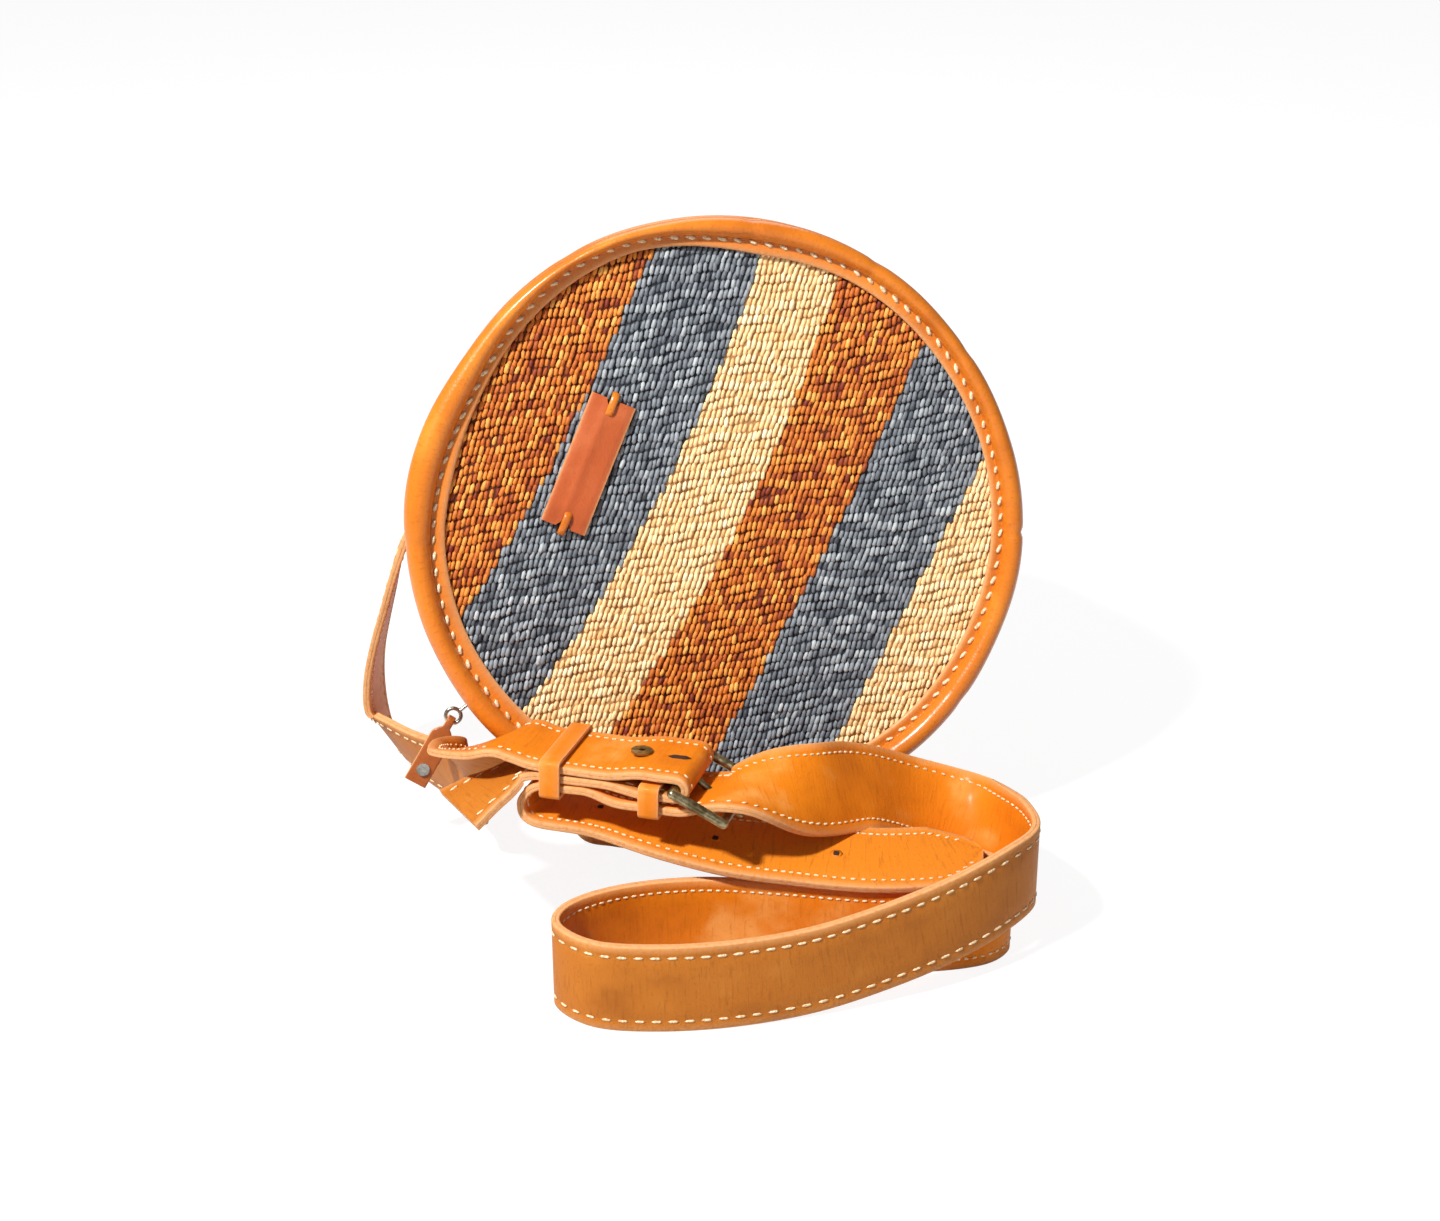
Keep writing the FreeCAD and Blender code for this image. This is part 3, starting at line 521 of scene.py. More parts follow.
band = bent_strip("gusset_leather", GUSSET_INNER, GUSSET_OUTER, -GUSSET_HALF, GUSSET_HALF,
                  ZIP_LAST, ZIP_FIRST + 360, trim_leather)
dress(band, "bag", "trim_leather", "gusset_band")
lining = bent_strip("gusset_lining_cloth", LINING_INNER, LINING_OUTER, -LINING_HALF, LINING_HALF,
                    ZIP_LAST + 1, ZIP_FIRST + 359, lining_cloth)
dress(lining, "bag", "lining_cotton", "gusset_lining")
for zip_name, zip_side in (("front", 1), ("back", -1)):
    low, high = sorted((ZIP_MIDDLE + zip_side * FACING_EDGE, zip_side * GUSSET_HALF))
    facing = bent_strip("zip_facing_leather_" + zip_name, GUSSET_INNER, GUSSET_OUTER, low, high,
                        ZIP_FIRST + ZIP_INSET, ZIP_LAST - ZIP_INSET, trim_leather)
    dress(facing, "bag", "trim_leather", "zip_facing_" + zip_name)
    low, high = sorted((ZIP_MIDDLE + zip_side * TAPE_EDGE,
                        ZIP_MIDDLE + zip_side * (TAPE_EDGE + TAPE_WIDTH)))
    tape = bent_strip("zip_tape_cloth_" + zip_name, TAPE_INNER, TAPE_OUTER, low, high,
                      ZIP_FIRST + ZIP_INSET, ZIP_LAST - ZIP_INSET, zip_cloth, 0.15)
    dress(tape, "bag", "zip_tape", "zip_tape_" + zip_name)
    disc = lining_disc(zip_name + "_lining_cloth", zip_side)
    dress(disc, "bag", "lining_cotton", zip_name + "_lining")
print("gusset, facings, tapes and lining ready")

# %% [markdown]
# Small things that repeat, such as stitches and the grains of the weave, are one shape laid on
# many points. A Geometry Nodes tree does that: it makes a small rounded grain from named sizes,
# sets one on every point along the point's own direction, and joins them into one mesh. Three
# facts are stored on each point: which way it runs, which way is out, and a number for its shade.

# %% A tree that lays grains on points


def lay_grains_tree(material):
    tree = bpy.data.node_groups.new("lay grains", "GeometryNodeTree")
    face = tree.interface
    face.new_socket("Geometry", in_out="INPUT", socket_type="NodeSocketGeometry")
    for title in ("Grain length", "Grain width", "Grain height", "Size spread"):
        face.new_socket(title, in_out="INPUT", socket_type="NodeSocketFloat")
    face.new_socket("Seed", in_out="INPUT", socket_type="NodeSocketInt")
    face.new_socket("Geometry", in_out="OUTPUT", socket_type="NodeSocketGeometry")

    def add(kind, sockets=None, **settings):
        made = tree.nodes.new(kind)
        for key, value in settings.items():
            setattr(made, key, value)
        for key, value in (sockets or {}).items():
            if hasattr(value, "is_output"):
                tree.links.new(value, made.inputs[key])
            else:
                made.inputs[key].default_value = value
        return made

    given = add("NodeGroupInput").outputs
    sphere = add("GeometryNodeMeshUVSphere", {"Segments": 6, "Rings": 3, "Radius": 0.5}).outputs[0]
    lying = add("GeometryNodeTransform",
                {"Geometry": sphere, "Rotation": (0, math.pi / 2, 0)}).outputs[0]
    size = add("ShaderNodeCombineXYZ",
               {0: given["Grain length"], 1: given["Grain width"], 2: given["Grain height"]})
    grain = add("GeometryNodeTransform", {"Geometry": lying, "Scale": size.outputs[0]}).outputs[0]
    smooth = add("GeometryNodeSetShadeSmooth", {"Geometry": grain}).outputs[0]
    out = add("GeometryNodeInputNamedAttribute", {"Name": "out"}, data_type="FLOAT_VECTOR").outputs[0]
    run = add("GeometryNodeInputNamedAttribute", {"Name": "run"}, data_type="FLOAT_VECTOR").outputs[0]
    turn = add("FunctionNodeAxesToRotation", {0: out, 1: run}, primary_axis="Z",
               secondary_axis="X").outputs[0]
    least = add("ShaderNodeMath", {0: 1.0, 1: given["Size spread"]}, operation="SUBTRACT").outputs[0]
    most = add("ShaderNodeMath", {0: 1.0, 1: given["Size spread"]}, operation="ADD").outputs[0]
    spread = add("FunctionNodeRandomValue", {"Seed": given["Seed"]}, data_type="FLOAT")
    tree.links.new(least, spread.inputs[2])
    tree.links.new(most, spread.inputs[3])
    laid = add("GeometryNodeInstanceOnPoints",
               {"Points": given["Geometry"], "Instance": smooth, "Rotation": turn,
                "Scale": spread.outputs[1]})
    real = add("GeometryNodeRealizeInstances", {"Geometry": laid.outputs[0]}).outputs[0]
    dyed = add("GeometryNodeSetMaterial", {"Geometry": real, "Material": material}).outputs[0]
    add("NodeGroupOutput", {"Geometry": dyed})
    return tree


print("grain tree ready")

# %% [markdown]
# To use the tree, a mesh of bare points gets the facts and a modifier that runs the tree on them.
# The result is read back as a plain mesh, so the modifier is no longer needed.

# %% Laying grains on points


def lay_grains(name, spots, run, out, size, material, facts=None, spread=0.06, seed=7):
    base = bpy.data.meshes.new(name + " points")
    base.from_pydata((np.asarray(spots) * MM).tolist(), [], [])
    for title, values in (("run", run), ("out", out)):
        stored = base.attributes.new(title, "FLOAT_VECTOR", "POINT")
        stored.data.foreach_set("vector", np.asarray(values).ravel())
    for title, values in (facts or {}).items():
        stored = base.attributes.new(title, "FLOAT", "POINT")
        stored.data.foreach_set("value", np.asarray(values, float))
    carrier = bpy.data.objects.new(name + " points", base)
    bpy.context.scene.collection.objects.link(carrier)
    layer = carrier.modifiers.new("grains", "NODES")
    layer.node_group = lay_grains_tree(material)
    sockets = layer.node_group.interface.items_tree
    titles = {item.name: item.identifier for item in sockets if item.in_out == "INPUT"}
    wanted = dict(zip(("Grain length", "Grain width", "Grain height"), (s * MM for s in size)))
    for title, value in {**wanted, "Size spread": spread, "Seed": seed}.items():
        layer[titles[title]] = value
    shown = carrier.evaluated_get(bpy.context.evaluated_depsgraph_get())
    mesh = bpy.data.meshes.new_from_object(shown)
    bpy.data.objects.remove(carrier)
    mesh.name = name
    piece = bpy.data.objects.new(name, mesh)
    bpy.context.scene.collection.objects.link(piece)
    print(name, len(spots), "grains,", len(mesh.polygons), "faces")
    return piece


print("grain helper ready")

# %% [markdown]
# The round faces are woven from sisal. The weaver works in rows: each row is a line of short
# slanting grains of fibre, and the next row sits between them, so the face is covered in small
# leaning beads with dark gaps. The rows run a little wavy. Wide stripes of rust, blue grey and
# cream cross them. Each grain is a real bump, so light picks out the weave from any side. Five
# gently curved lines part the stripes. Every line has a start, a tilt, a bend and a flare near the
# top. The ground under the grains shows in the gaps, so its material works out the same stripes in
# much darker colours: the stripes' own hues, darkened as painted shade for the gaps.

# %% Stripes of the weave
STRIPE_LINES = ((-66.1, 0.64, -0.0015, 2.5), (-24.0, 0.61, -0.0015, 0.0), (8.7, 0.55, -0.0018, 3.0),
                (42.6, 0.54, -0.0006, 2.5), (81.3, 0.56, 0.0, 0.0))
FLARE_FROM, FLARE_LENGTH = 35.0, 45.0


def sisal():
    paint = Paint("striped sisal")
    shade, stripe = paint.attribute("shade"), paint.attribute("stripe")
    rust = paint.ramp(shade, [(0.0, (0.20, 0.020, 0.004)), (0.35, (0.52, 0.115, 0.010)),
                              (0.65, (0.74, 0.235, 0.026)), (1.0, (0.90, 0.44, 0.09))])
    blue = paint.ramp(shade, [(0.0, (0.04, 0.047, 0.060)), (0.35, (0.13, 0.145, 0.166)),
                              (0.65, (0.26, 0.285, 0.31)), (1.0, (0.50, 0.53, 0.54))])
    cream = paint.ramp(shade, [(0.0, (0.74, 0.41, 0.15)), (0.35, (0.92, 0.59, 0.27)),
                               (0.65, (0.98, 0.72, 0.385)), (1.0, (1.0, 0.85, 0.56))])
    colour = paint.mix(paint.mix(rust, blue, stripe > 0.5), cream, stripe > 1.5)
    fibre = paint.noise(2600.0, 2.0, 0.6, (1, 0.3, 0.3))
    colour = paint.mix(colour, (0.05, 0.02, 0.01), paint.between(fibre, 0.55, 0.8) * 0.3)
    return paint.wear(colour, 0.5 + fibre * 0.2, paint.bump(fibre, 0.00012))


def striped_ground():
    paint = Paint("weave ground painted shade", {"Roughness": 0.9})
    spot = paint.place((1 / MM, 1 / MM, 1 / MM))
    side, back, high = (paint.node("ShaderNodeSeparateXYZ", None, {0: spot}, k) for k in range(3))
    x = side - DRUM_CENTRE[0]
    z = back * DRUM_UP[1] + high * DRUM_UP[2] - DRUM_CENTRE @ DRUM_UP
    top = paint.maths("MAXIMUM", (z - FLARE_FROM) * (1 / FLARE_LENGTH), 0.0)
    stripe = x * 0.0
    for start, tilt, bend, flare in STRIPE_LINES:
        stripe = stripe + (x > z * tilt + z * z * bend + top * top * flare + start)
    stripe = paint.maths("MODULO", stripe + 0.1, 3.0)
    # painted shade: the ground's stripe colours are the grains' hues made much darker for the shaded
    # gaps
    colour = paint.mix(paint.mix((0.10, 0.018, 0.005), (0.022, 0.026, 0.034), stripe > 0.5),
                       (0.42, 0.22, 0.085), stripe > 1.5)
    return paint.wear(colour, None, paint.bump(paint.noise(900.0), 0.0002))


def stripe_of(x, z):
    stripe = np.zeros(np.shape(x))
    top = np.clip((z - FLARE_FROM) / FLARE_LENGTH, 0, 2)
    for start, tilt, bend, flare in STRIPE_LINES:
        stripe += x > start + tilt * z + bend * z ** 2 + flare * top ** 2
    return stripe % 3


shaded_weave_ground = striped_ground()
sisal_stripes = sisal()
print("stripe lines", len(STRIPE_LINES))

# %% [markdown]
# The grains stand on a grid of rows and columns that is bent by slow waves and shaken a little,
# with a fixed seed. A grain outside the rim's lip is left out. The others get their stripe, a
# random shade and a lean. Along a row the grains also rise together, because a row of real
# weaving is a small ridge, and they brighten together as a painted highlight on that ridge.

# %% Woven faces
COLUMN_PITCH, ROW_PITCH = 1.75, 2.75
GRAIN_SIZE, GRAIN_LEAN, GRAIN_SPREAD = (3.95, 1.75, 1.8), 0.36, 0.12
WEAVE_RADIUS, WEAVE_DEPTH, WEAVE_SEED = 91.0, 35.2, 11
GROUND_BACK, GROUND_FACE, GROUND_STEPS = 33.7, 35.0, 120
SHADE_SPREADS = (0.22, 0.17, 0.15)


def weave_points(side, rng):
    x, row = np.meshgrid(np.arange(-97, 97, COLUMN_PITCH), np.arange(-35, 36), indexing="ij")
    x = x + COLUMN_PITCH / 2 * (row % 2) + rng.normal(0, 0.13, x.shape)
    z = row * ROW_PITCH + 1.1 * np.sin(x * 0.085 + row * 0.07) + 0.5 * np.sin(x * 0.31 + row * 0.9)
    x, z = x.ravel(), z.ravel() + rng.normal(0, 0.16, x.size)
    angle = np.degrees(np.arctan2(z, x))
    reach = WEAVE_RADIUS + rim_offsets(angle, side)[0]
    inside = np.hypot(x, z) < reach
    x, z, angle = x[inside], z[inside], angle[inside]
    stripe = stripe_of(x, z)
    spread = np.choose(stripe.astype(int), SHADE_SPREADS)
    # bands give each row a real rise in height and, through the shade value, a painted highlight on its
    # crest
    bands = np.sin(z * 1.5 + 0.7 * np.sin(x * 0.06) + 0.3 * np.sin(x * 0.21))
    ridge_highlight_strength = 0.13 + 0.07 * np.sin(x * 0.05 + z * 0.031)
    shade = np.clip(0.52 + spread * rng.normal(0, 1, len(x)) + ridge_highlight_strength * bands, 0, 1)
    lean = GRAIN_LEAN + rng.normal(0, 0.09, len(x))
    run = DRUM_RIGHT * lean[:, None] + DRUM_UP
    run = run / np.linalg.norm(run, axis=1)[:, None]
    lift = side * (WEAVE_DEPTH + 0.3 * bands + rng.normal(0, 0.1, len(x)))
    return on_drum(np.hypot(x, z), angle, lift), run, stripe, shade


def weave_ground(name, side):
    angles = np.linspace(0, 360, GROUND_STEPS, endpoint=False)
    spill = np.maximum(rim_offsets(angles, side)[0], 0)
    levels = [(0.5, GROUND_BACK), (60, GROUND_BACK), (92.6, GROUND_BACK), (92.8, 34.4),
              (92.6, GROUND_FACE), (60, GROUND_FACE), (0.5, GROUND_FACE)]
    rows = [on_drum(r + spill * (r > 90), angles, np.full(GROUND_STEPS, side * s)) for r, s in levels]
    return skin(name, rows, shaded_weave_ground)


for panel_name, panel_side in (("front", 1), ("back", -1)):
    spots, run, stripe, shade = weave_points(panel_side, np.random.default_rng(WEAVE_SEED))
    facing = np.tile(DRUM_FRONT * panel_side, (len(spots), 1))
    weave = lay_grains(panel_name + "_weave", spots, run, facing, GRAIN_SIZE, sisal_stripes,
                       {"stripe": stripe, "shade": shade}, GRAIN_SPREAD)
    dress(weave, "bag", "woven_sisal", panel_name + "_panel")
    ground = weave_ground(panel_name + "_weave_ground", panel_side)
    dress(ground, "bag", "woven_sisal", panel_name + "_panel")

# %% [markdown]
# The strap is two layers of leather sewn face to face. It leaves the bag, folds back and forth on
# the floor, passes the buckle and ends in a pointed tip. Its route is a list of given points,
# each with the direction of the strap's first edge. At the buckle the layers lie in a
# stack, so their levels are worked out from the leather's thickness, the bar and a small
# clearance. Four helpers place points: sewn on the drum, free in space, standing on edge, or in
# the stack.

# %% Helpers for the strap's route
STRAP_WIDTH, LAYER_THICK, SEAM = 30.0, 1.25, 0.1
HALF_STRAP = LAYER_THICK + SEAM / 2
CLEAR, BAR_WIRE, FRAME_REACH, FRAME_TILT = 0.3, 3.2, 18.0, math.radians(25.0)
BAR_LEVEL = BAR_WIRE / 2 + CLEAR + HALF_STRAP
PAIR_LEVEL = HALF_STRAP + CLEAR
BILLET_LEVEL = PAIR_LEVEL + 2 * HALF_STRAP + 2 * CLEAR
LOW_LEVEL = BAR_LEVEL + 2 * HALF_STRAP + 0.7 + 3 * CLEAR
STRAP_RADIUS = GUSSET_OUTER + 0.6 + HALF_STRAP
UP = (0, 0, 1)


def sewn(first, last, steps, depth, side):
    spots = []
    for angle in np.linspace(first, last, steps + 1):
        across = on_drum(STRAP_RADIUS, angle, depth + 12) - on_drum(STRAP_RADIUS, angle, depth - 12)
        spots.append((on_drum(STRAP_RADIUS, angle, depth), across / np.linalg.norm(across) * side))
    return spots


def way(x, y, z, *edge):
    return np.array([x, y, z]) + ROUTE_SHIFT, np.array(edge, float)


def standing(spots):
    return [way(x, y, z, *UP) for x, y, z in spots]


def stacked(levels, side):
    return [(at_buckle(along, 0, up), BUCKLE_FAR * side) for along, up in levels]


print("stack levels", BAR_LEVEL, PAIR_LEVEL, BILLET_LEVEL, LOW_LEVEL)

# %% [markdown]
# The long strap is sewn on low at the drum, comes out below it, turns up on its edge, loops round
# in front and rises to the buckle. Behind the frame it passes the keepers and curls back under the
# stack, and the billet ends at the right. The solid strap follows a list of the same kind. The
# rise and the billet lie a few millimetres away from it here, to keep closer to the photograph.

# %% Route of the long strap


def long_route():
    flat, stand_up = HALF_STRAP + CLEAR, STRAP_WIDTH / 2 + 0.05
    over = BAR_LEVEL - FRAME_REACH * math.sin(FRAME_TILT) + 0.2
    end = FRAME_REACH * math.cos(FRAME_TILT)
    route = sewn(263, 248, 3, 0, -1)
    route += [way(-48, -22.5, 20.5, 0, 1, -0.2), way(-53, -24, 12, 0, 1, -0.1),
              way(-46, -27, flat + 1.5, 0, 1, 0), way(-33, -31, flat, 0.3, 1, 0),
              way(-14, -40, flat, 0.45, 0.89, 0), way(6, -57, flat, 0.6, 0.8, 0),
              way(25, -76, flat + 0.2, 0.7, 0.7, 0), way(42, -93, flat + 3.2, 0.68, 0.7, 0.2),
              way(54, -103, 11.4, 0.5, 0.5, 0.67), way(66, -111, 15.2, 0.15, 0.15, 0.97)]
    route += standing([(x, y, stand_up) for x, y in (
        (76, -116), (80, -124), (71, -131.5), (52, -133), (31, -130), (8, -123), (-18, -117),
        (-42, -118), (-59, -125), (-64, -136), (-54, -148), (-35, -153))])
    route += standing([(-12, -154, stand_up + 0.2), (12, -152, 16.5), (35, -148, 20), (57, -142.5, 24.5),
                       (76, -134, 28.5), (88, -122, 29)])
    route += [way(88, -105, 27.5, 0, 0.28, 0.96), way(77, -88.0, 26.5, 0, 0.60, 0.8),
              way(59, -83.5, 33.0, 0.1, 0.78, 0.62), way(39, -92.5, 44.6, 0.2, 0.85, 0.48),
              way(20, -104.5, 51.6, 0.3, 0.76, 0.56)]
    route += stacked([(end, over), (2, -LOW_LEVEL), (-9, -LOW_LEVEL), (-19, -LOW_LEVEL),
                      (-28, -BILLET_LEVEL), (-36, -BILLET_LEVEL), (-43.5, -BILLET_LEVEL),
                      (-48, -7.5), (-50, -12.5), (-46, -17.5)], 1)
    route += [way(-44, -91.5, 41.5, 0.42, 0.9, 0), way(-24.6, -101.5, 38.4, 0.38, 0.92, 0.03),
              way(-6, -108.0, 36.0, 0.32, 0.94, 0.12), way(12, -112.5, 34.8, 0.25, 0.96, 0.18),
              way(35, -118.8, 33.5, 0.18, 0.97, 0.14), way(55, -120.0, 33.0, 0.08, 0.98, 0.12),
              way(72, -118, 32.8, -0.05, 0.99, 0.08)]
    return route


print("long route", len(long_route()), "points")

# %% [markdown]
# The short strap is sewn over the top of the drum, hangs down on the left, turns forward near the
# floor and comes up to the buckle. There it folds round the bar, and its end comes back under
# itself.

# %% Route of the buckle's strap


def buckle_route():
    side = BAR_LEVEL * math.sqrt(0.5)
    route = sewn(47, 167, 12, -14, 1)
    route += [way(-104.5, 12.5, 92, -0.02, -0.95, 0.3), way(-111.5, 18, 68, -0.05, -0.93, 0.36),
              way(-117, 24, 43, -0.1, -0.91, 0.39), way(-117.5, 26, 26.5, -0.18, -0.84, 0.5),
              way(-114, 20.5, 17, -0.22, -0.66, 0.72), way(-106.5, 8, 15.2, -0.22, -0.46, 0.86),
              way(-95, -10, 16.2, -0.2, -0.35, 0.92), way(-86, -31, 21.5, -0.1, -0.3, 0.95),
              way(-87, -48, 35, -0.25, -0.38, 0.87), way(-84, -65, 51.3, -0.27, -0.68, 0.65),
              way(-75.5, -77.5, 62.4, -0.35, -0.89, 0.26)]
    route += stacked([(-54, PAIR_LEVEL + 1.9), (-46, PAIR_LEVEL + 0.1), (-34, PAIR_LEVEL),
                      (-22, PAIR_LEVEL), (-12, BAR_LEVEL), (-6, BAR_LEVEL), (0, BAR_LEVEL),
                      (side, side), (BAR_LEVEL, 0), (side, -side), (0, -BAR_LEVEL),
                      (-6, -BAR_LEVEL), (-12, -BAR_LEVEL), (-22, -PAIR_LEVEL),
                      (-34, -PAIR_LEVEL), (-46, -PAIR_LEVEL - 0.2)], -1)
    route += [way(-72, -84.3, 54.6, -0.3, -0.93, 0.14), way(-81.5, -88.5, 51, -0.05, -0.97, 0.05),
              way(-91, -92.5, 46.5, 0.2, -0.97, 0)]
    return route


print("buckle route", len(buckle_route()), "points")

# %% [markdown]
# A smooth curve runs through all the points of a route, and the edge directions are smoothed in
# the same way. From both come the three directions that a strap has at every step: along, across
# and out of its face. The length gone so far is kept too, for stitches and holes.

# %% Curves through the routes


def follow(route, steps=10):
    centres = np.array([spot for spot, edge in route])
    edges = np.array([np.asarray(edge, float) for spot, edge in route])

    def curve(v):
        before = np.vstack([2 * v[:1] - v[1:2], v[:-2], v[-2:-1]])[:-1]
        after = np.vstack([v[2:], 2 * v[-1:] - v[-2:-1]])
        a, b, c, d = before[:, None], v[:-1, None], v[1:, None], after[:, None]
        t = np.linspace(0, 1, steps, endpoint=False)[None, :, None]
        path = 0.5 * (2 * b + (c - a) * t + (2 * a - 5 * b + 4 * c - d) * t ** 2
                      + (3 * b - a - 3 * c + d) * t ** 3)
        return np.vstack([path.reshape(-1, 3), v[-1:]])

    centre, side = curve(centres), curve(edges)
    run = np.gradient(centre, axis=0)
    run = run / np.linalg.norm(run, axis=1)[:, None]
    side = side - run * np.einsum("ij,ij->i", run, side)[:, None]
    side = side / np.linalg.norm(side, axis=1)[:, None]
    gone = np.concatenate([[0], np.cumsum(np.linalg.norm(np.diff(centre, axis=0), axis=1))])
    return {"centre": centre, "run": run, "side": side, "out": np.cross(run, side), "gone": gone}


long_path, buckle_path = follow(long_route()), follow(buckle_route())
print("strap lengths", long_path["gone"][-1].round(), buckle_path["gone"][-1].round())

# %% [markdown]
# Each layer's cross section is a flat bar with softened corners and a shallow groove under each
# row of stitches. The rows of points are the section placed along the path, narrowed near the
# pointed tip.

# %% Strap layers
STITCH_INSET = 3.7
TIP_LENGTH, TIP_WIDTH = 15.0, 3.0


def layer_section(side):
    face = HALF_STRAP * side
    back = SEAM / 2 * side
    soft = 0.4
    edge, groove = STRAP_WIDTH / 2, STRAP_WIDTH / 2 - STITCH_INSET
    top = [(edge, back + (face - back) * 0.45), (edge - 0.06, face - soft * 0.55 * side),
           (edge - soft, face), (groove + 0.9, face), (groove, face - 0.22 * side),
           (groove - 0.9, face), (6, face), (0, face)]
    half = [(edge, back)] + top
    other = [(-w, t) for w, t in reversed(half[:-1])]
    raw = [1, 1, 1, 0.55, 0, 0, 0, 0, 0]
    return np.array(half + other), raw + raw[:-1][::-1]


def tip_width(path, pointed):
    left = np.clip((path["gone"][-1] - path["gone"]) / TIP_LENGTH, 0, 1)
    if not pointed:
        return np.full(len(left), STRAP_WIDTH)
    return TIP_WIDTH + (STRAP_WIDTH - TIP_WIDTH) * np.sqrt(left)


def strap_layer(name, path, side, material, pointed):
    section, raw = layer_section(side)
    narrow = (tip_width(path, pointed) - STRAP_WIDTH) / 2
    sign = np.sign(section[None, :, 0])
    across = section[None, :, 0] + sign * narrow[:, None]
    across = np.where(np.sign(across) == sign, across, 0.2 * sign)
    rows = (path["centre"][:, None] + path["side"][:, None] * across[..., None]
            + path["out"][:, None] * section[None, :, 1, None])
    return skin(name, rows, material, False, raw, path["gone"])


for strap_name, path, pointed in (("long_strap", long_path, True), ("buckle_strap", buckle_path, False)):
    face_layer = strap_layer(strap_name + "_face", path, 1, strap_face, pointed)
    dress(face_layer, "bag", "strap_leather", strap_name)
    back_layer = strap_layer(strap_name + "_back", path, -1, strap_back, pointed)
    dress(back_layer, "bag", "strap_lining_leather", strap_name + "_lining")
    print(strap_name, len(face_layer.data.polygons) + len(back_layer.data.polygons), "faces")

# %% [markdown]
# Stitches hold the strap's layers together and fix the rims to the weave. A stitch is a short
# plump thread that sinks a little into the leather. The grain tree lays them along each row: only
# the points differ, so the helper walks along a path at an even pitch.

# %% Stitches
thread_paint = Paint("cream thread")
thread_twist = thread_paint.noise(1500.0, 2.0, 0.6)
thread_colour = thread_paint.mix((0.66, 0.42, 0.20), (0.95, 0.78, 0.52),
                                 thread_paint.between(thread_twist, 0.35, 0.6))
cream_thread = thread_paint.wear(thread_colour, 0.55 + thread_twist * 0.2,
                                 thread_paint.bump(thread_twist, 0.0002))
FACE_PITCH, BACK_PITCH, RIM_PITCH = 5.0, 2.7, 5.2
FACE_STITCH, BACK_STITCH = (3.5, 1.0, 0.75), (1.9, 0.85, 0.65)
RIM_STITCH, RIM_STITCH_SPREAD, RIM_STITCH_DEPTH = (3.4, 1.5, 1.4), 0.15, 37.75


def stitch_row(path, offset, level, pitch, first, last):
    spots = np.arange(first, last, pitch)

    def pick(key):
        return np.stack([np.interp(spots, path["gone"], path[key][:, k]) for k in range(3)], -1)

    width = np.interp(spots, path["gone"], offset)
    return (pick("centre") + pick("side") * width[:, None] + pick("out") * level, pick("run"),
            pick("out") * np.sign(level))


def strap_stitches(name, path, pointed, side, pitch, size, first=0.0, past=0.0):
    reach = tip_width(path, pointed) / 2 - STITCH_INSET
    reach = np.maximum(reach, 0.2)
    last = path["gone"][-1] - (5 if pointed else 3)
    rows = [stitch_row(path, reach * edge, (HALF_STRAP - 0.05) * side, pitch, 3 + first, last + past)
            for edge in (1, -1)]
    spots, run, out = (np.vstack([row[k] for row in rows]) for k in range(3))
    return lay_grains(name, spots, run, out, size, cream_thread)


def rim_stitches(name, side):
    count = int(2 * math.pi * SEAM_RADIUS / RIM_PITCH)
    angles = np.arange(count) * 360 / count
    seam = SEAM_RADIUS + rim_offsets(angles, side)[1]
    depths = np.full(count, side * RIM_STITCH_DEPTH)
    spots = on_drum(seam, angles, depths)
    run = on_drum(seam + 0.35, angles + 0.6, depths) - spots
    run = run / np.linalg.norm(run, axis=1)[:, None]
    facing = np.tile(DRUM_FRONT * side, (count, 1))
    return lay_grains(name, spots, run, facing, RIM_STITCH, cream_thread, None, RIM_STITCH_SPREAD)


FACE_ROW, BACK_ROW = (1, FACE_PITCH, FACE_STITCH), (-1, BACK_PITCH, BACK_STITCH)
BILLET_ROW = (1, BACK_PITCH, BACK_STITCH)
billet_start = BILLET_FROM / MM
billet_left = billet_start - long_path["gone"][-1]
stitch_rows = (("long_strap_stitches_face", long_path, True, *FACE_ROW, 0.0, billet_left),
               ("long_strap_stitches_billet", long_path, True, *BILLET_ROW, billet_start),
               ("long_strap_stitches_back", long_path, True, *BACK_ROW),
               ("buckle_strap_stitches_face", buckle_path, False, *FACE_ROW),
               ("buckle_strap_stitches_back", buckle_path, False, *BACK_ROW))
for row in stitch_rows:
    dress(strap_stitches(*row), "bag", "strap_leather")
for rim_name, rim_side in (("front", 1), ("back", -1)):
    dress(rim_stitches(rim_name + "_rim_stitches", rim_side), "bag", "trim_leather")

# %% [markdown]
# The billet has three punched holes and the buckle strap a slot at its fold, where the prong
# comes through. Their insides lie in shade, so each is shown as a flat grain of painted shade
# that stands just proud of the leather, and the round holes have a soft rim round them.

# %% Punched holes and the prong slot
# painted shade: a near black mark stands in for the shaded inside of each hole and of the slot
hole_shade_paint = Paint("punched hole", {"Base Color": (0.035, 0.012, 0.005, 1), "Roughness": 0.9})
HOLE_FROM_TIP, HOLE_PITCH, HOLE_COUNT = 47.0, 38.5, 3
HOLE_SIZE, HOLE_RIM_SIZE, SLOT_SIZE = (2.9, 2.9, 0.6), (4.4, 4.4, 0.35), (8.0, 3.4, 0.6)


def strap_mark(name, path, gone, side, size, material):
    middle = np.zeros(len(path["gone"]))
    # a pitch that is longer than the stretch gives one point
    spots, run, out = stitch_row(path, middle, HALF_STRAP * side, 2.0, gone, gone + 1)
    mark = lay_grains(name, spots, run, out, size, material, None, 0.0)
    dress(mark, "bag", "strap_leather")


